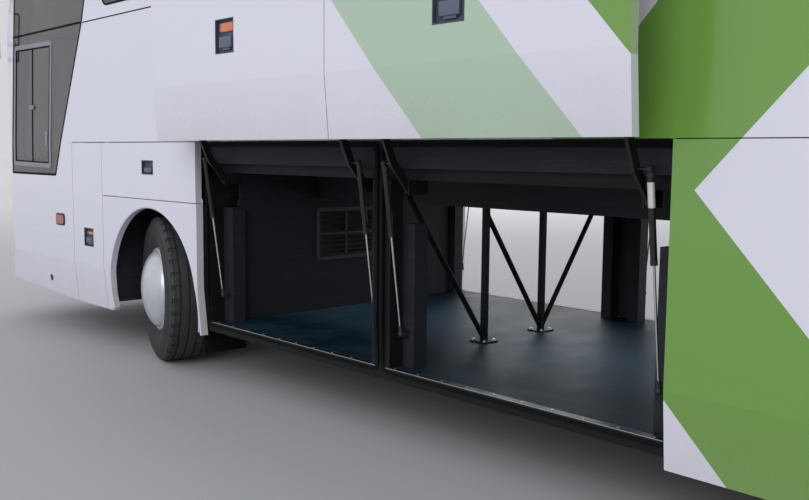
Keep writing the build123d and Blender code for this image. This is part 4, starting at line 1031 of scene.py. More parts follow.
def latch(body, side, x, z, width, height, outer, glow):
    """A grey cup with its rim and keyhole, a pull, and a reflector as high as glow."""
    cup, pull = starts(2)
    w, h = width / 2, height / 2
    base = outer - LATCH_DEPTH
    side_sheet(cup, side, around(x, z, w - 0.001, h - 0.001), 0.012, None, 0.0015, 0.0015,
               lambda at: base)
    side_sheet(cup, side, around(x, z, w - 0.0005, h - 0.0005), 0.012, 0.006, LATCH_DEPTH - 0.001,
               -0.0003, lambda at: outer)
    stud(cup, side, x - w * 0.72, z + h * 0.55, base + 0.001, base + 0.006, 0.011, 20)
    for across, far, low, high, radius in ((0.315, outer - 0.002, 0.335, 0.005, 0.0035),
                                           (0.2, outer - 0.009, 0.40, 0.32, 0.003)):
        side_rounded(pull, side, x - width * across, x + width * across, base + 0.0012, far,
                     z - height * low, z - height * high, radius)
    piece(cup, body + "_cup", "cup_grey", body)
    piece(pull, body + "_pull", "pull", body)
    if glow:
        reflector, low = start(), z + height * 0.13
        side_rounded(reflector, side, x - width * 0.36, x + width * 0.36, base + 0.001,
                     base + 0.009, low, low + glow, 0.003)
        piece(reflector, body + "_reflector", "reflector", body)


def strut_trim(side_name, side, number):
    """Collars and sockets of one door's two gas struts, its arms' bosses, and a label."""
    end = "_%s_%d" % (side_name, number)
    collars, sockets, bosses = starts(3)
    crank = joint_spot("strut_swing_left_1")
    along = Vector((0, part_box("strut_rods_left_1")[0].y + 0.012 - crank.y, STUD_Z - crank.z))
    length, along = along.length, along.normalized()
    half = Vector((0.0125, 0, 0))
    for edge, way in ((BAY_EDGES[number - 1], -1), (BAY_EDGES[number], 1)):
        def at(t, x=edge + way * STRUT_X):
            """A point on the strut, so far from its crank."""
            return Vector((x, side * (crank.y + along.y * t), crank.z + along.z * t))
        for near, far, radius in ((0.016, 0.03, 0.0152),
                                  (TUBE_LENGTH - 0.02, TUBE_LENGTH - 0.001, 0.0148)):
            sleeve(collars, at(near), at(far), radius, 0.0128)
        rod(collars, at(0) - half, at(0) + half, 0.0145, 20)
        ball = bmesh.ops.create_uvsphere(sockets, u_segments=16, v_segments=10, radius=0.0155)
        bmesh.ops.translate(sockets, vec=at(length), verts=ball["verts"])
        rod(sockets, at(length - 0.045), at(length - 0.008), 0.0075, 16, 0.0125)
        x = edge + way * ARM_X
        for y, z in ((ARM_FOOT_Y, joint_spot("lift_left_1").z), ARM_HEAD):
            rod(bosses, (x - 0.0095, side * y, z), (x + 0.0095, side * y, z), 0.026, 24)
    piece(collars, "strut_collars" + end, "plastic", "strut_tubes" + end)
    if number == 2:
        labels = start()
        sleeve(labels, at(0.05), at(0.15), 0.01445, 0.0128)
        piece(labels, "strut_labels" + end, "label", "strut_tubes" + end)
    piece(sockets, "strut_sockets" + end, "plastic", "strut_rods" + end)
    piece(bosses, "arm_bosses" + end, "strut_black", "door_arms" + end)


# Glazing

def window_spans():
    """The two ends of each passenger window, from the front back."""
    front, back = WINDOWS_X
    pitch = (front - back + PILLAR) / WINDOW_COUNT
    return [(front - (k + 1) * pitch + PILLAR, front - k * pitch) for k in range(WINDOW_COUNT)]


def side_glass():
    """Rubber round the side windows, their dark borders, and the driver's sliding pane."""
    sill, top = WINDOW_Z
    seals, borders = starts(2)
    for side in BOTH:
        for x0, x1 in window_spans():
            for bm, grow, *shape in ((seals, 0.006, 0.094, 0.016, 0.014, 0.0018),
                                     (borders, -0.008, 0.085, 0.032, 0.0012, -0.0083)):
                side_sheet(bm, side, oblong(x0 - grow, x1 + grow, sill - grow, top + grow), *shape)
    left, right = [Skin((0, side, 0), "side_windows", "side_wall_left", "side_wall_right",
                        "front_mask") for side in BOTH]
    for skin, corners in ((left, CAB_CORNERS), (right, GUIDE_CORNERS)):
        skin.lay(seals, corners, 0.02, 0.018, 0.006, 0.0018, 0.12)
    piece(seals, "window_seals", "rubber")
    piece(borders, "window_borders", "frit")
    sliding_pane(left)


def sliding_pane(skin):
    """The driver's sliding pane: alloy frame, rubber run, catch, and the upper pane's seam."""
    bars, run = starts(2)
    skin.lay(bars, PANE_CORNERS, 0.03, 0.038, 0.006, 0.0042, 0.12)
    inner = [(5.617, 1.415), (5.582, 2.385), (4.828, 2.374), (4.866, 1.404)]
    skin.lay(run, inner, 0.02, 0.012, 0.005, 0.0048, 0.12)
    middle = [(5.215, 1.42), (5.227, 1.42), (5.212, 2.38), (5.2, 2.38)]
    skin.lay(run, middle, 0, None, 0.005, 0.0046, 0.12)
    seam = [(4.215, 2.512), (5.652, 2.512), (5.653, 2.496), (4.219, 2.496)]
    skin.lay(run, seam, 0, None, 0.006, 0.003, 0.2)
    y = body_y(1.9)
    side_rounded(bars, 1, 5.17, 5.26, y + 0.001, y + 0.014, 1.86, 1.895, 0.004)
    side_rounded(bars, 1, 4.9, 4.94, y + 0.001, y + 0.012, 1.55, 1.67, 0.004)
    piece(bars, "cab_window_frame", "window_grey")
    piece(run, "cab_window_run", "rubber")


def windscreen():
    """The screen's rubber and dark border, its middle bar, and two pantograph wipers."""
    skin = Skin((1, 0, 0), "windscreen", "front_mask")
    seals, border, wipers = starts(3)
    z0, z1 = 1.38, 3.31
    skin.lay(seals, oblong(-1.108, 1.108, z0 - 0.004, z1 + 0.004), 0.05, 0.024, 0.008, 0.002, 0.09)
    skin.lay(seals, oblong(-1.07, 1.07, 2.55, 2.568), 0.0, None, 0.006, 0.0022, 0.08)
    skin.lay(border, oblong(-1.084, 1.084, z0 + 0.02, z1 - 0.02), 0.05, 0.045, 0.001, 0.0008, 0.09)
    for side in BOTH:
        blade_y = side * 0.78
        foot = Vector((6.062, side * 0.42, 1.3))
        for dy in (-0.025, 0.025):
            rod(wipers, foot + Vector((0.0, dy, 0)), (6.02, blade_y + dy, 1.78), 0.006, 10)
        for dy, radius in ((-0.025, 0.016), (0.025, 0.012)):
            rod(wipers, foot + Vector((-0.05, dy, 0)), foot + Vector((0.016, dy, 0)), radius)
        blade = [skin.spot(Vector((0, blade_y, 1.45 + k * 0.11))) for k in range(9)]
        out = Vector((0.011, 0, 0.003))
        bent_bar(wipers, [p + out for p in blade], 0.0065, 8)
        bent_bar(wipers, [p + out * 1.9 for p in blade], 0.0045, 8)
    piece(seals, "screen_seal", "rubber")
    piece(border, "screen_border", "frit")
    piece(wipers, "wipers", "strut_black")


def other_glass():
    """The rear screen's rubber, and rubber, panes and pulls of the passenger doors."""
    rear, seals, pulls, panes = starts(4)
    Skin((-1, 0, 0), "side_windows", "rear_mask").lay(
        rear, oblong(-0.984, 0.984, 2.446, 3.204), 0.04, 0.022, 0.008, 0.002, 0.09)
    for x0, x1 in (ENTRANCE, MIDDLE_DOOR):
        x = x0 + 0.14
        for bm, corners, *shape in (
                (seals, oblong(x0 + 0.086, x1 - 0.086, 1.336, 2.374), 0.03, 0.014, 0.008, 0.0018),
                (seals, oblong(x0 - 0.002, x1 + 0.002, 0.345, DOOR_TOP + 0.002), 0.012, 0.008,
                 0.012, 0.0012),
                (panes, oblong(x0 + 0.094, x1 - 0.094, 1.344, 2.366), 0.03, None, 0.004, 0.0012),
                (seals, oblong(x0 + 0.1, x1 - 0.1, 1.84, 1.848), 0.0, None, 0.004, 0.002),
                (pulls, oblong(x - 0.05, x + 0.05, 1.16, 1.28), 0.015, None, 0.006, 0.002),
                (pulls, oblong(x - 0.04, x + 0.04, 1.2, 1.23), 0.01, None, 0.012, 0.012)):
            side_sheet(bm, -1, corners, *shape)
    piece(rear, "rear_screen_seal", "rubber")
    piece(seals, "passenger_door_seals", "rubber")
    piece(pulls, "passenger_door_pulls", "plastic")
    piece(panes, "passenger_door_panes", "door_glass")


# Lamps and plates

def front_lamps():
    """Two round beams and an amber block in each headlamp, fog lamps, markers, and plates."""
    beam_z, fog_y, fog_z = 0.92, 0.84, 0.55
    skin = Skin((1, 0, 0), "lamps", "front_mask", "bumper_front", "roof", "windscreen")
    rear = Skin((-1, 0, 0), "rear_mask", "engine_lid")
    bowls, beams, amber, fogs, clear, plates = starts(6)
    for side in BOTH:
        unit = oblong(*outwards(side, 0.622, 1.078), 0.834, 1.006)
        skin.lay(bowls, unit, 0.03, 0.014, 0.004, 0.0012, 0.05)
        discs = [(bowls, fog_y, fog_z, 0.066, 0.006, 0.003),
                 (fogs, fog_y, fog_z, 0.055, 0.004, 0.0048)]
        for y in (0.7, 0.86):
            discs += [(bowls, y, beam_z, 0.072, 0.0035, 0.0018),
                      (beams, y, beam_z, 0.062, 0.003, 0.0034),
                      (bowls, y, beam_z, 0.024, 0.003, 0.0044)]
        for bm, y, z, radius, depth, proud in discs:
            skin.lay(bm, circle(side * y, z, radius, 28), 0.0, None, depth, proud, None)
        blinker = oblong(*outwards(side, 0.955, 1.06), 0.85, 0.99)
        skin.lay(amber, blinker, 0.02, None, 0.003, 0.003, 0.04)
    for y, bm in ((-0.98, clear), (-0.33, amber), (0.33, amber), (0.98, clear)):
        skin.lay(bm, around(y, 3.4475, 0.045, 0.0175), 0.012, None, 0.014, 0.01, 0.04)
    for end, z in ((skin, 0.475), (rear, 0.555)):
        end.lay(plates, around(0, z, 0.26, 0.055), 0.008, None, 0.006, 0.003, 0.1)
    piece(bowls, "headlamp_bezels", "plastic")
    piece(beams, "headlamp_beams", "lamp_glass")
    piece(amber, "front_indicators", "lamp_amber")
    piece(fogs, "fog_lamp_lenses", "lamp_glass")
    piece(clear, "roof_corner_lamps", "lamp_clear")
    piece(plates, "blank_plates", "plate")


def rear_lamps():
    """Five segments in each tail lamp, a bezel, high markers and reflectors."""
    skin = Skin((-1, 0, 0), "lamps", "rear_mask", "roof", "engine_lid")
    red, amber, clear, bezel, reflectors = starts(5)
    segments = ((0.91, 0.985, red), (0.995, 1.085, red), (1.095, 1.165, amber),
                (1.175, 1.245, clear), (1.255, 1.41, red))
    for side in BOTH:
        y0, y1 = outwards(side, 0.997, 1.143)
        for z0, z1, bm in segments:
            skin.lay(bm, oblong(y0, y1, z0, z1), 0.012, None, 0.003, 0.0045, 0.05)
        skin.lay(bezel, oblong(y0 - 0.007, y1 + 0.007, 0.903, 1.417), 0.02, 0.012, 0.008, 0.0055,
                 0.06)
        skin.lay(red, around(side * 0.905, 3.42, 0.045, 0.02), 0.01, None, 0.012, 0.008, 0.04)
        skin.lay(reflectors, around(side * 0.76, 0.555, 0.06, 0.025), 0.008, None, 0.006, 0.004,
                 0.05)
    skin.lay(red, oblong(-0.22, 0.22, 3.28, 3.315), 0.01, None, 0.008, 0.006, 0.06)
    piece(red, "tail_lamps_red", "lamp_red")
    piece(amber, "tail_lamps_amber", "lamp_amber")
    piece(clear, "tail_lamps_clear", "lamp_clear")
    piece(bezel, "tail_lamp_bezels", "plastic")
    piece(reflectors, "rear_reflectors", "lamp_red")


def side_lamps():
    """Marker lamps low along each side, and repeaters ahead of the wheels."""
    amber, red, rims = starts(3)
    for side in BOTH:
        for x in (-3.95, -5.1):
            side_sheet(amber, side, around(x, 0.72, 0.045, 0.02), 0.012, None, 0.012, 0.009)
            side_sheet(rims, side, around(x, 0.72, 0.053, 0.028), 0.016, None, 0.008, 0.004)
        side_sheet(red, side, oblong(4.594, 4.745, 0.912, 0.986), 0.02, None, 0.012, 0.010)
        side_sheet(rims, side, oblong(4.582, 4.757, 0.900, 0.998), 0.026, None, 0.008, 0.004)
        side_sheet(rims, side, circle(4.925, 0.436, 0.028, 20), 0.0, None, 0.006, 0.0015)
    piece(amber, "side_markers", "lamp_amber")
    piece(red, "side_repeaters", "lamp_orange")
    piece(rims, "side_lamp_rims", "plastic")


# Body trim

def side_trim():
    """The moulding under the windows, the belt seam, panel joints and the gutter."""
    dark, lips = starts(2)
    for side in BOTH:
        front = 4.205 if side > 0 else 4.19
        for bm, corners, depth, proud in (
                (dark, oblong(-5.58, front, 2.496, 2.504), 0.004, 0.0018),
                (lips, oblong(-5.58, front + 0.005, 2.504, 2.511), 0.006, 0.0026),
                (dark, oblong(-5.7, 5.5, 3.432, 3.44), 0.004, 0.001),
                (lips, oblong(-5.7, 5.5, 3.418, 3.431), 0.012, 0.006)):
            side_sheet(bm, side, corners, 0.0, None, depth, proud)
        for x in (1.625, 0.24, -2.95, -4.4):
            side_sheet(dark, side, oblong(x - 0.0014, x + 0.0014, BELT_Z + 0.052, 2.49), 0.0, None,
                       0.003, 0.0004)
        seams = [oblong(x0, x1, BELT_Z - 0.003, BELT_Z + 0.001) for x0, x1 in (
            (-5.7, REAR_AXLE - 0.66), (REAR_AXLE + 0.66, BAY_EDGES[2] - 0.01))]
        seams += [oblong(x - 0.002, x + 0.002, SKIRT_Z + 0.01, BELT_Z - 0.01)
                  for x in ((-4.02, -4.86) if side > 0 else (-4.02, -4.86, 3.88))]
        for corners in seams:
            side_sheet(dark, side, corners, 0.0, None, 0.003, 0.0005)
    piece(dark, "panel_joints", "rubber")
    piece(lips, "side_mouldings", "moulding_white")


def arches():
    """Returned lips round the wheel arches, and mud flaps behind them."""
    lips, flaps = starts(2)
    for side in BOTH:
        for axle, y in ((FRONT_AXLE, 1.03), (REAR_AXLE, 0.92)):
            arch_lip(lips, side, axle)
            x = axle - 0.6
            side_rounded(flaps, side, x - 0.004, x + 0.004, y - 0.17, y + 0.16, 0.16, 0.56, 0.0015)
    piece(lips, "arch_lips", "body_paint")
    piece(flaps, "mud_flaps", "rubber")


def arch_lip(bm, side, axle):
    """A rolled edge that follows the arch's circle above its straight sides."""
    r, drop = ARCH_R, ARCH_Z - (SKIRT_Z + 0.02)
    section = [(r - 0.001, 0.0015), (r + 0.007, 0.0035), (r + 0.011, 0.001), (r + 0.011, -0.01),
               (r - 0.001, -0.046), (r - 0.006, -0.046), (r - 0.006, -0.002)]
    below = atan2(drop, (r ** 2 - drop ** 2) ** 0.5)
    part = start()
    points = [(axle + a * cos(below), b, ARCH_Z - a * sin(below)) for a, b in section]
    spin(part, points, (axle, 0, ARCH_Z), (0, -1, 0), 56, closed=True, angle=pi + 2 * below)
    bmesh.ops.holes_fill(part, edges=[e for e in part.edges if e.is_boundary], sides=0)
    for v in part.verts:
        v.co.y = side * (body_y(v.co.z) + v.co.y)
    join(bm, part)


def mirror_heads():
    """Rounded heads on bent arms, with two glasses in each that face back."""
    glass, heads = starts(2)
    low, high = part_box("mirrors")
    back = high.x - 0.066
    near, far = 1.232, high.y - 0.001
    path = [(5.6, 1.2, 2.95), (5.66, 1.232, 2.942), (5.72, 1.262, 2.93), (5.81, 1.296, 2.905),
            (5.9, 1.32, 2.87), (5.96, 1.33, 2.845), (6.005, 1.335, 2.815), (6.032, 1.337, 2.785),
            (6.045, 1.338, 2.74)]
    for side in BOTH:
        side_rounded(heads, side, back, high.x - 0.001, near, far, low.z + 0.001, 2.788, 0.026)
        bent_bar(heads, [(x, side * y, z) for x, y, z in path], 0.019, 20)
        rod(heads, (5.585, side * 1.19, 2.952), (5.66, side * 1.232, 2.94), 0.03, 20, 0.02)
        for z0, z1 in ((2.5, 2.765), (2.36, 2.475)):
            side_rounded(glass, side, back - 0.003, back + 0.004, near + 0.024, far - 0.024, z0, z1,
                         0.0025)
    piece(glass, "mirror_glasses", "mirror")
    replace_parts(piece(heads, "mirror_heads", "plastic"), "mirrors")


def nose():
    """Front grille bars, bumper seams and tow covers."""
    skin = Skin((1, 0, 0), "front_mask", "bumper_front", "lamps")
    bars, seams = starts(2)
    for count, first, pitch, height, half in ((4, 1.07, 0.045, 0.02, 0.5),
                                              (3, 0.62, 0.05, 0.026, 0.31)):
        for k in range(count):
            z = first + k * pitch
            skin.lay(bars, oblong(-half, half, z, z + height), 0.006, None, 0.008, 0.0022, 0.1)
    for z in (1.028, 1.32):
        skin.lay(seams, around(0, z, 0.93, 0.002), 0.0, None, 0.003, 0.0006, 0.1)
    for y in (-0.6, 0.6):
        skin.lay(seams, around(y, 0.475, 0.055, 0.055), 0.012, 0.003, 0.003, 0.0006, 0.1)
    piece(bars, "front_grilles", "plastic")
    piece(seams, "front_seams", "rubber")


def tail():
    """Engine lid handle and hinges, mesh behind its slots, rear bumper line and exhaust."""
    skin = Skin((-1, 0, 0), "rear_mask", "engine_lid")
    mesh_x, mesh_z, half, wire = -6.045, (0.82, 1.34), 0.60, 0.0022
    handle, mesh, seams, pipe = starts(4)
    skin.lay(handle, oblong(-0.09, 0.09, 0.755, 0.80), 0.014, None, 0.006, 0.0025, 0.05)
    skin.lay(handle, oblong(-0.07, 0.07, 0.765, 0.782), 0.006, None, 0.006, 0.007, 0.05)
    for k in range(30):
        y = half * (2 * k / 29 - 1)
        rod(mesh, (mesh_x, y, mesh_z[0]), (mesh_x, y, mesh_z[1]), wire, 6)
    for k in range(7):
        x, z = mesh_x - 0.002, 0.85 + k * 0.075
        rod(mesh, (x, -half - 0.015, z), (x, half + 0.015, z), wire, 6)
    skin.lay(seams, oblong(-1.0, 1.0, 0.655, 0.66), 0.0, None, 0.003, 0.0006, 0.1)
    for y in (-0.55, 0.55):
        skin.lay(seams, around(y, 1.75, 0.05, 0.015), 0.006, None, 0.004, 0.003, 0.06)
    y, z = 0.78, 0.40
    barrel(pipe, [(0.046, -5.92), (0.046, -5.2), (0.040, -5.2), (0.040, -5.92), (0.046, -5.92)], y,
           z, 24)
    for x in (-5.7, -5.35):
        rod(pipe, (x, y, z + 0.04), (x, y, z + 0.22), 0.008, 10)
    piece(handle, "lid_handle", "plastic", "engine_lid")
    piece(mesh, "lid_mesh", "strut_black", "engine_lid")
    piece(seams, "rear_seams", "rubber")
    piece(pipe, "exhaust_tail", "bare_alloy")


def roof_hatches():
    """Two roof hatches with their seals."""
    skin = Skin((0, 0, 1), "roof", "roof_unit")
    hatches, rims = starts(2)
    for x in (2.6, -4.3):
        skin.lay(hatches, around(x, 0, 0.34, 0.34), 0.05, None, 0.03, 0.02, 0.08)
        skin.lay(rims, around(x, 0, 0.36, 0.36), 0.06, 0.018, 0.01, 0.006, 0.08)
    piece(hatches, "roof_hatches", "moulding_white")
    piece(rims, "roof_hatch_seals", "rubber")


FAN_WELLS = [(x - 0.44, x + 0.44) for x in (-0.45, -1.75)]
WELL_HALF = 0.55


def cooling_unit():
    """The roof's cooling unit: a moulded housing with two fans under slats in each well."""
    low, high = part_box("roof_unit")
    slats, fans = starts(2)
    for x0, x1 in FAN_WELLS:
        for k in range(15):
            x = x0 + 0.035 + k * (x1 - x0 - 0.07) / 14
            slat = block(slats, (x - 0.0022, -0.537, high.z - 0.022),
                         (x + 0.0022, 0.537, high.z - 0.006))
            turned(slats, slat, (x, 0, high.z - 0.014), 25, "Y")
        rounded_block(slats, (x0 + 0.012, -0.008, high.z - 0.03),
                      (x1 - 0.012, 0.008, high.z - 0.024), 0.002)
        for y in (-0.27, 0.27):
            fan(fans, Vector(((x0 + x1) / 2, y, high.z - 0.052)))
    for x in (low.x + 0.2, -1.1, high.x - 0.2):
        for y in (-0.72, 0.72):
            rod(fans, (x, y, high.z - 0.006), (x, y, high.z - 0.0005), 0.011, 12)
    housing = piece(cooling_housing(low, high), "cooling_housing", "moulding_white")
    piece(slats, "cooling_slats", "plastic")
    piece(fans, "cooling_fans", "plastic")
    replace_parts(housing, "roof_unit")


def cooling_housing(low, high):
    """The unit's rounded shell, with its wells inset in the top, on a frame under its edges."""
    edge = 0.001
    part, housing = starts(2)
    block(part, (low.x + edge, low.y + edge, 3.665),
          (high.x - edge, high.y - edge, high.z - 0.0005))
    for axis, cuts in ((0, FAN_WELLS[0] + FAN_WELLS[1]), (1, (-WELL_HALF, WELL_HALF))):
        for cut in cuts:
            slice_at(part, axis, cut)
    for x0, x1 in FAN_WELLS:
        top = []
        for face in part.faces:
            c = face.calc_center_median()
            if face.normal.z > 0.9 and x0 < c.x < x1 and abs(c.y) < WELL_HALF:
                top.append(face)
        bmesh.ops.inset_region(part, faces=top, thickness=0.012, depth=-0.004)
        bmesh.ops.inset_region(part, faces=top, thickness=0.004, depth=-0.06)
    rim = [e for e in part.edges if e.is_manifold and e.calc_face_angle(0) > 1.2 and any(
        min(abs(v.co.x - low.x - edge), abs(v.co.x - high.x + edge),
            abs(abs(v.co.y) - high.y + edge)) < 0.0001 for v in e.verts)]
    bevel(part, rim, 0.032, 4)
    join(housing, part)
    for side in BOTH:
        side_rounded(housing, side, low.x + 0.03, high.x - 0.03, 0.735, 0.79, 3.6, 3.7, 0.008)
    for x in (low.x + 0.03, high.x - 0.07):
        rounded_block(housing, (x, -0.76, 3.625), (x + 0.04, 0.76, 3.7), 0.008)
    return housing


def fan(bm, hub):
    """A fan's ring, hub and seven blades."""
    up = Vector((0, 0, 1))
    sleeve(bm, hub - up * 0.012, hub + up * 0.018, 0.25, 0.24, 40)
    rod(bm, hub - up * 0.01, hub + up * 0.014, 0.055, 24)
    for k in range(7):
        blade = block(bm, hub + Vector((0.05, -0.035, -0.001)), hub + Vector((0.23, 0.035, 0.001)))
        turned(bm, blade, hub, 16, "X")
        turned(bm, blade, hub, 360 * k / 7, "Z")


# Seats

CUSHION = [(0.005, 0.012), (0.42, 0.012), (0.446, 0.06), (0.428, 0.118), (0.1, 0.1), (0.0, 0.09)]
BACK = [(0.09, 0.13), (0.055, 0.33), (0.03, 0.42), (0.008, 0.68), (-0.042, 0.692), (-0.058, 0.66),
        (-0.032, 0.42), (0.0, 0.13)]
SHELL = [(0.0, 0.04), (-0.045, 0.05), (-0.062, 0.12), (-0.118, 0.676), (-0.062, 0.716),
         (-0.048, 0.66), (-0.01, 0.12)]
SEAT_WIDTH = 0.392
CAB_SEAT = (4.6, 0.7, 1.37)
CAB_POST_X = 4.8
CLOTH_FRAMES = 20


def pad_form(profile, width, radius):
    """A pad's first shape: its side outline in X and Z, drawn out along Y about nought."""
    part = sheet((0, 2), profile)
    thicken(part, lambda co, d: Vector((co.x, d - width / 2, co.z)), width)
    bmesh.ops.recalc_face_normals(part, faces=part.faces)
    bevel(part, part.edges[:], radius)
    return part


def settled(obj):
    """The mesh that an object's modifiers give."""
    graph = bpy.context.evaluated_depsgraph_get()
    return bpy.data.meshes.new_from_object(obj.evaluated_get(graph))


def swell(name, part, voxel=0.019, pressure=4.0, cap=0.012, held=0.012):
    """Remeshes a pad and swells it as cloth, its base held flat. Returns the mesh."""
    scene = bpy.context.scene
    obj = bpy.data.objects.new(name, mesh_of(part, name))
    scene.collection.objects.link(obj)
    remesh = obj.modifiers.new("Remesh", "REMESH")
    remesh.mode = "VOXEL"
    remesh.voxel_size = voxel
    result = settled(obj)
    obj.modifiers.clear()
    obj.data = result
    low = min(v.co.z for v in result.vertices)
    group = obj.vertex_groups.new(name="held")
    group.add([v.index for v in result.vertices if v.co.z < low + held], 1.0, "REPLACE")
    before = [v.co.copy() for v in result.vertices]
    cloth = obj.modifiers.new("Cloth", "CLOTH")
    cloth.settings.use_pressure = True
    cloth.settings.uniform_pressure_force = pressure
    cloth.settings.vertex_group_mass = group.name
    cloth.settings.effector_weights.gravity = 0
    cloth.point_cache.frame_start, cloth.point_cache.frame_end = 1, CLOTH_FRAMES
    for step in range(1, CLOTH_FRAMES + 1):
        scene.frame_set(step)
    result = settled(obj)
    for vert, was in zip(result.vertices, before):
        move = vert.co - was
        if move.length > cap:
            vert.co = was + move * (cap / move.length)
    scene.frame_set(1)
    bpy.data.objects.remove(obj)
    return result


def seats():
    """Padded passenger seats in pairs and the driver's seat, in their shells on their frames."""
    bases = {"cushions": swell("cushion_form", pad_form(CUSHION, SEAT_WIDTH - 0.014, 0.022)),
             "backs": swell("back_form", pad_form(BACK, SEAT_WIDTH - 0.014, 0.02)),
             "shells": mesh_of(pad_form(SHELL, SEAT_WIDTH, 0.012), "shell_form")}
    frames = start()
    spots = []
    for row in range(SEAT_ROWS):
        x = FRONT_AXLE + 0.56 - row * SEAT_PITCH
        for side in BOTH:
            spots += [(x, side * y, SEAT_FLOOR) for y in SEATS_Y]
            seat_frame(frames, side, x, SEAT_FLOOR)
    foot, neck, head = [(CAB_POST_X, CAB_SEAT[1], z) for z in (0.9505, 1.2, 1.375)]
    rod(frames, foot, neck, 0.125, 24, 0.09)
    rod(frames, neck, head, 0.06, 24)
    rounded_block(frames, (4.62, 0.5, 1.345), (5.0, 0.9, 1.38), 0.01)
    copies = {}
    for part, mesh in bases.items():
        bm = copies[part] = start()
        for spot in (*spots, CAB_SEAT):
            count = len(bm.verts)
            bm.from_mesh(mesh)
            bm.verts.ensure_lookup_table()
            bmesh.ops.translate(bm, vec=spot, verts=bm.verts[count:])
        bpy.data.meshes.remove(mesh)
    piece(copies["shells"], "seat_shells", "shell_grey")
    piece(frames, "seat_frames", "strut_black")
    cushions = piece(copies["cushions"], "seat_cushions", "cloth")
    backs = piece(copies["backs"], "seat_backs", "cloth")
    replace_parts(backs, "seats")


def seat_frame(bm, side, x, z):
    """One pair's rail, leg, armrests and footrest."""
    for x0, x1, near, far, z0, z1, radius in (
            (0.03, 0.4, 0.37, 1.155, -0.012, 0.012, 0.005),
            (0.09, 0.27, 0.66, 0.72, -0.337, -0.005, 0.012),
            (0.05, 0.31, 0.63, 0.75, -0.3397, -0.328, 0.004)):
        side_rounded(bm, side, x + x0, x + x1, near, far, z + z0, z + z1, radius)
    for y in (0.352, 0.7625):
        side_rounded(bm, side, x, x + 0.34, y - 0.014, y + 0.022, z + 0.205, z + 0.235, 0.01)
        side_rounded(bm, side, x - 0.02, x + 0.03, y - 0.01, y + 0.015, z + 0.05, z + 0.22, 0.006)
    rod(bm, (x - 0.16, side * 0.4, z - 0.17), (x - 0.16, side * 1.12, z - 0.17), 0.011, 12)
    for y in (0.46, 1.06):
        rod(bm, (x - 0.16, side * y, z - 0.17), (x + 0.05, side * y, z), 0.009, 10)
    y = side * 0.375
    rod(bm, (x - 0.09, y, z + 0.64), (x - 0.09, y, z + 0.69), 0.016, 16, 0.02)


# Cab and racks

def dash():
    """The binnacle's hoods, its round dials and a row of knobs."""
    hood, dials = starts(2)
    rounded_block(hood, (5.5, 0.42, 1.41), (5.72, 0.98, 1.47), 0.02)
    for y0, y1 in ((0.44, 0.96), (0.0, 0.38)):
        part = start()
        block(part, (5.49, y0, 1.385), (5.66, y1, 1.50))
        top = [v for v in part.verts if v.co.z > 1.45]
        bmesh.ops.translate(part, vec=(0.06, 0, 0), verts=top)
        bevel(part, part.edges[:], 0.012)
        join(hood, part)
    rounded_block(hood, (5.5, -0.28, 1.43), (5.76, 0.4, 1.455), 0.01)
    lean = Vector((-0.88, 0, 0.47))
    for y, radius in ((0.58, 0.052), (0.7, 0.036), (0.82, 0.052)):
        centre = Vector((5.513, y, 1.443))
        rod(dials, centre, centre + lean * 0.011, radius, 32)
        rod(hood, centre, centre + lean * 0.008, radius + 0.006, 32)
    for k in range(6):
        centre = Vector((5.51, 0.06 + k * 0.055, 1.44))
        rod(dials, centre, centre + lean * 0.013, 0.016, 12)
    piece(hood, "dash_hood", "plastic")
    piece(dials, "dash_dials", "dial")


def driver_controls():
    """The steering wheel's grip and hub, and three pedals."""
    grip = start()
    reach, thick = 0.225, 0.0158
    centre = Vector((5.34, 0.7, 1.57))
    tilt = Vector((-0.5, 0, 0.86)).normalized()
    side = Vector((0, 1, 0))
    ahead = side.cross(tilt)
    ring = bmesh.ops.create_circle(grip, segments=14, radius=thick)["verts"]
    place = Matrix((ahead, tilt, side)).transposed().to_4x4()
    bmesh.ops.transform(grip, matrix=Matrix.Translation(centre + ahead * reach) @ place,
                        verts=ring)
    bmesh.ops.spin(grip, geom=ring + grip.edges[:], cent=centre, axis=tilt, dvec=(0, 0, 0),
                   angle=2 * pi, steps=64, use_merge=True)
    rod(grip, centre - tilt * 0.012, centre + tilt * 0.02, 0.052, 32)
    for y in (0.56, 0.7, 0.86):
        rounded_block(grip, (5.44, y - 0.035, 1.03), (5.455, y + 0.035, 1.13), 0.004)
        rod(grip, (5.455, y, 1.08), (5.57, y, 1.12), 0.009, 10)
    piece(grip, "steering_grip", "rubber")


def luggage_racks():
    """Racks along both sides, with a lamp and nozzle panel over each row."""
    racks = start()
    for side in BOTH:
        for near, far, z0, z1, radius in ((0.80, 1.16, 3.16, 3.185, 0.008),
                                          (0.79, 0.82, 3.16, 3.3, 0.01),
                                          (0.60, 0.80, 3.20, 3.24, 0.015)):
            side_rounded(racks, side, -5.45, 4.0, near, far, z0, z1, radius)
        for row in range(SEAT_ROWS):
            x = FRONT_AXLE + 0.72 - row * SEAT_PITCH
            side_rounded(racks, side, x - 0.13, x + 0.13, 0.86, 0.98, 3.145, 3.162, 0.006)
    piece(racks, "luggage_racks", "shell_grey")


# Underbody

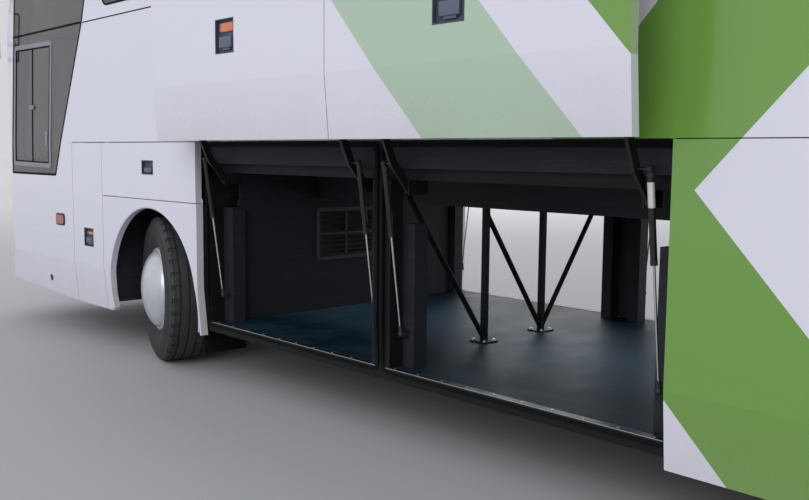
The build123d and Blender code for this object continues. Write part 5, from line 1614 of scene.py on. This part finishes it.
def running_gear():
    """Air tanks on their straps, the propeller shaft and the air springs."""
    tanks, fittings, shaft, springs = starts(4)
    z = 0.5
    tank = [(0.0, 3.93), (0.07, 3.94), (0.11, 3.97), (0.115, 4.0), (0.115, 4.3), (0.11, 4.33),
            (0.07, 4.36), (0.0, 4.37)]
    for y in (0.2, -0.2):
        barrel(tanks, tank, y, z)
        for x in (4.03, 4.27):
            strap = oblong(0.1155, 0.1185, x - 0.012, x + 0.012)
            barrel(fittings, strap + strap[:1], y, z)
            rod(fittings, (x, y, 0.617), (x, y, 0.72), 0.008, 10)
        rounded_block(fittings, (3.99, y - 0.08, 0.715), (4.31, y + 0.08, 0.73), 0.004)
    for x0, x1, radius in ((-4.26, -4.2, 0.085), (-4.2, -3.56, 0.05), (-3.56, -3.49, 0.08)):
        rod(shaft, (x0, 0, 0.6 - (x0 + 4.26) * 0.08), (x1, 0, 0.6 - (x1 + 4.26) * 0.08), radius, 24)
    bellows = [(0.0, 0.0), (0.075, 0.0), (0.1, 0.02), (0.1, 0.05), (0.085, 0.06), (0.1, 0.075),
               (0.1, 0.105), (0.075, 0.125), (0.0, 0.125)]
    for x, y in ((FRONT_AXLE, 0.5), (REAR_AXLE - 0.28, 0.43), (REAR_AXLE + 0.28, 0.43)):
        for side in BOTH:
            points = [(x + r, side * y, 0.655 + up) for r, up in bellows]
            spin(springs, points, (x, side * y, 0), (0, 0, 1), 24)
    engine_trim(fittings)
    piece(tanks, "air_tanks", "strut_black")
    piece(shaft, "propeller_shaft", "black_steel")
    piece(springs, "air_springs", "rubber")
    piece(fittings, "engine_fittings", "iron")


def engine_trim(bm):
    """Pipes along the engine, its cover's ribs and its belt pulleys."""
    for z in (0.55, 0.75, 0.95):
        rounded_block(bm, (-5.6, 0.36, z), (-4.5, 0.39, z + 0.05), 0.01)
    for k in range(6):
        x = -5.5 + k * 0.18
        rounded_block(bm, (x, -0.26, 1.15), (x + 0.13, 0.26, 1.172), 0.008)
    for y, z, radius, sides in ((0.14, 0.7, 0.09, 28), (-0.12, 0.7, 0.07, 28),
                                (0.02, 0.95, 0.05, 24)):
        rod(bm, (-5.69, y, z), (-5.66, y, z), radius, sides)


# Stage

FLOOR_SIZE = 180
NEAR_EDGE = 11.0
FADE = 0.035
PALE = (0.82, 0.815, 0.8)
SKY_SHADE = (0.85, (0.92, 0.95, 1.0, 1.0))
SKY_BRIGHT = (0.82, (0.8, 0.82, 0.84, 1.0))
LIGHT_AIM = Vector((0, 0, 1.2))
LIGHTS = (("key", (-8, 23, 13), 17.0, 2480), ("fill", (19, -17, 13), 17.0, 1550),
          ("back", (-25, -8, 11), 13.0, 1050))
CAMERA_SPOT = (-2.814, 4.349, 1.511)
CAMERA_YAW, CAMERA_PITCH, CAMERA_ROLL = 0.749, 0.104, 0.010
CAMERA_LENS = 40.87
SENSOR = 36.0


def studio_floor():
    """A wide grey floor that fades to a pale backdrop."""
    bm = start()
    bmesh.ops.create_grid(bm, x_segments=1, y_segments=1, size=FLOOR_SIZE)
    floor = bpy.data.objects.new("studio_floor", mesh_of(bm, "studio_floor"))
    bpy.context.scene.collection.objects.link(floor)
    f = Finish("studio_floor", Roughness=0.9)
    x, y, z = f.xyz()
    far = (((x * x + y * y).root() - NEAR_EDGE) * FADE).clamp()
    near = tuple(bpy.context.scene.coach_colours.backdrop)
    f.set(Base_Color=f.mix(far, near, PALE))
    floor.data.materials.append(f.material)


def sky():
    """Even light all round, and another tone of it where it is seen or mirrored."""
    world = bpy.data.worlds.new("studio_sky")
    world.use_nodes = True
    nodes, link = world.node_tree.nodes, world.node_tree.links.new
    shades = (nodes["Background"], nodes.new("ShaderNodeBackground"))
    for shade, (strength, colour) in zip(shades, (SKY_SHADE, SKY_BRIGHT)):
        shade.inputs["Strength"].default_value = strength
        shade.inputs["Color"].default_value = colour
    path = nodes.new("ShaderNodeLightPath")
    seen = path.outputs["Is Camera Ray"]
    for ray in ("Is Glossy Ray", "Is Transmission Ray"):
        either = nodes.new("ShaderNodeMath")
        either.operation = "MAXIMUM"
        link(seen, either.inputs[0])
        link(path.outputs[ray], either.inputs[1])
        seen = either.outputs[0]
    choose = nodes.new("ShaderNodeMixShader")
    for source, socket in zip((seen, shades[0].outputs[0], shades[1].outputs[0]), choose.inputs):
        link(source, socket)
    link(choose.outputs[0], nodes["World Output"].inputs[0])
    bpy.context.scene.world = world


def lights():
    """Three large soft lights, aimed at the coach."""
    for name, spot, size, power in LIGHTS:
        light = bpy.data.lights.new("studio_" + name, "AREA")
        light.energy = power
        light.size = size
        lamp = bpy.data.objects.new("studio_" + name, light)
        lamp.location = spot
        lamp.rotation_euler = (LIGHT_AIM - Vector(spot)).to_track_quat("-Z", "Y").to_euler()
        bpy.context.scene.collection.objects.link(lamp)


def photo_camera():
    """The camera at the photograph's place and angle."""
    scene = bpy.context.scene
    level = cos(CAMERA_PITCH)
    ahead = Vector((cos(CAMERA_YAW) * level, -sin(CAMERA_YAW) * level, -sin(CAMERA_PITCH)))
    right = Vector((-sin(CAMERA_YAW), -cos(CAMERA_YAW), 0))
    up = right.cross(ahead)
    tilted = cos(CAMERA_ROLL) * right + sin(CAMERA_ROLL) * up
    upright = -sin(CAMERA_ROLL) * right + cos(CAMERA_ROLL) * up
    data = bpy.data.cameras.new("photo_camera")
    data.sensor_width = SENSOR
    data.lens = CAMERA_LENS
    data.clip_start, data.clip_end = 0.05, 200.0
    camera = bpy.data.objects.new("photo_camera", data)
    turn = Matrix((tilted, upright, -ahead)).transposed().to_4x4()
    camera.matrix_world = Matrix.Translation(CAMERA_SPOT) @ turn
    scene.collection.objects.link(camera)
    scene.camera = camera
    scene.view_settings.view_transform = "Standard"


# Add-on

class CoachSizes(bpy.types.PropertyGroup):
    seal_width: bpy.props.FloatProperty(
        name="Seal width", description="Width of the rubber seals round the bays",
        default=0.022, subtype="DISTANCE", unit="LENGTH")
    tread_depth: bpy.props.FloatProperty(
        name="Tread depth", description="Depth of the tyres' tread grooves",
        default=0.013, subtype="DISTANCE", unit="LENGTH")
    nut_count: bpy.props.IntProperty(
        name="Wheel nuts", description="Nuts on each wheel", default=10, min=6, max=12)


class CoachColours(bpy.types.PropertyGroup):
    backdrop: bpy.props.FloatVectorProperty(
        name="Floor colour", description="Colour of the studio floor", subtype="COLOR",
        default=(0.42, 0.42, 0.43), min=0, max=1)


class COACH_OT_finishes(bpy.types.Operator):
    """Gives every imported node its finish"""
    bl_idname = "coach.finishes"
    bl_label = "Finishes"

    def execute(self, context):
        for node, obj in NODES.items():
            name = next(name for first, name in NODE_FINISHES.items() if node.startswith(first))
            if not obj.data.materials:
                obj.data.materials.append(None)
            for i in range(len(obj.data.materials)):
                obj.data.materials[i] = finish(name)
        return {"FINISHED"}


class COACH_OT_tyres(bpy.types.Operator):
    """Tyres with tread, wheels with their nuts, and the front wheels' domed covers"""
    bl_idname = "coach.tyres"
    bl_label = "Wheels"

    def execute(self, context):
        for side_name, side in SIDES:
            front_wheel(side_name, side)
            rear_wheels(side_name, side)
        return {"FINISHED"}


class COACH_OT_bays(bpy.types.Operator):
    """Seals, sills, bolts, vent frame, lamps and lining panels of the luggage bays"""
    bl_idname = "coach.bays"
    bl_label = "Luggage bays"

    def execute(self, context):
        doorways()
        vent()
        bay_inside()
        return {"FINISHED"}


class COACH_OT_doors(bpy.types.Operator):
    """Seals, edge strips, latches and reflectors on the raised luggage doors and the flaps"""
    bl_idname = "coach.doors"
    bl_label = "Doors and latches"

    def execute(self, context):
        for side_name, side in SIDES:
            for number, (x0, x1) in enumerate(BAY_SPANS, 1):
                door(side_name, side, number, x0, x1)
        latch("wheel_hatch", 1, FRONT_AXLE, 1.4, 0.17, 0.10, HALF, 0.0)
        latch("service_flap", 1, 4.133, 0.838, 0.17, 0.145, HALF, 0.025)
        return {"FINISHED"}


class COACH_OT_struts(bpy.types.Operator):
    """Sockets, collars and labels of the gas struts, and the arms' bosses"""
    bl_idname = "coach.struts"
    bl_label = "Gas struts"

    def execute(self, context):
        for side_name, side in SIDES:
            for number in (1, 2):
                strut_trim(side_name, side, number)
        return {"FINISHED"}


class COACH_OT_glazing(bpy.types.Operator):
    """Window seals, the driver's sliding window, screen border, wipers and door glass frames"""
    bl_idname = "coach.glazing"
    bl_label = "Glazing"

    def execute(self, context):
        side_glass()
        windscreen()
        other_glass()
        return {"FINISHED"}


class COACH_OT_lamps(bpy.types.Operator):
    """Headlamp and tail lamp units, marker lamps, fog lamps and blank number plates"""
    bl_idname = "coach.lamps"
    bl_label = "Lamps and plates"

    def execute(self, context):
        front_lamps()
        rear_lamps()
        side_lamps()
        return {"FINISHED"}


class COACH_OT_trim(bpy.types.Operator):
    """Mouldings, gutters, panel seams, arch lips, mirrors, grilles, handles and roof fittings"""
    bl_idname = "coach.trim"
    bl_label = "Body trim"

    def execute(self, context):
        side_trim()
        arches()
        mirror_heads()
        nose()
        tail()
        roof_hatches()
        cooling_unit()
        return {"FINISHED"}


class COACH_OT_seats(bpy.types.Operator):
    """Padded passenger and driver's seats on their frames"""
    bl_idname = "coach.seats"
    bl_label = "Seats"

    def execute(self, context):
        seats()
        return {"FINISHED"}


class COACH_OT_cab(bpy.types.Operator):
    """Driver's binnacle, steering wheel grip, pedals, and the luggage racks"""
    bl_idname = "coach.cab"
    bl_label = "Cab and racks"

    def execute(self, context):
        dash()
        driver_controls()
        luggage_racks()
        return {"FINISHED"}


class COACH_OT_underbody(bpy.types.Operator):
    """Air tanks, propeller shaft, air springs and engine fittings"""
    bl_idname = "coach.underbody"
    bl_label = "Underbody"

    def execute(self, context):
        running_gear()
        return {"FINISHED"}


class COACH_OT_stage(bpy.types.Operator):
    """Floor, lights and the camera at the photograph's angle"""
    bl_idname = "coach.stage"
    bl_label = "Stage"

    def execute(self, context):
        studio_floor()
        sky()
        lights()
        photo_camera()
        return {"FINISHED"}


class COACH_PT_panel(bpy.types.Panel):
    """Lists the coach's groups of pieces"""
    bl_idname = "COACH_PT_panel"
    bl_label = "Touring coach"
    bl_space_type = "VIEW_3D"
    bl_region_type = "UI"
    bl_category = "Coach"

    def draw(self, context):
        scene = context.scene
        for group in (scene.coach_sizes, scene.coach_colours):
            for key in group.__annotations__:
                self.layout.prop(group, key)
        for operator in OPERATORS:
            self.layout.operator(operator.bl_idname)


OPERATORS = [COACH_OT_finishes, COACH_OT_tyres, COACH_OT_bays, COACH_OT_doors, COACH_OT_struts,
             COACH_OT_glazing, COACH_OT_lamps, COACH_OT_trim, COACH_OT_seats, COACH_OT_cab,
             COACH_OT_underbody, COACH_OT_stage]
CLASSES = [CoachSizes, CoachColours, *OPERATORS, COACH_PT_panel]


def register():
    for item in CLASSES:
        bpy.utils.register_class(item)
    bpy.types.Scene.coach_sizes = bpy.props.PointerProperty(type=CoachSizes)
    bpy.types.Scene.coach_colours = bpy.props.PointerProperty(type=CoachColours)


def unregister():
    del bpy.types.Scene.coach_colours
    del bpy.types.Scene.coach_sizes
    for item in reversed(CLASSES):
        bpy.utils.unregister_class(item)


def main():
    """Builds everything, in order."""
    register()
    for operator in OPERATORS:
        group, action = operator.bl_idname.split(".")
        getattr(getattr(bpy.ops, group), action)()


if __name__ == "__main__":
    main()
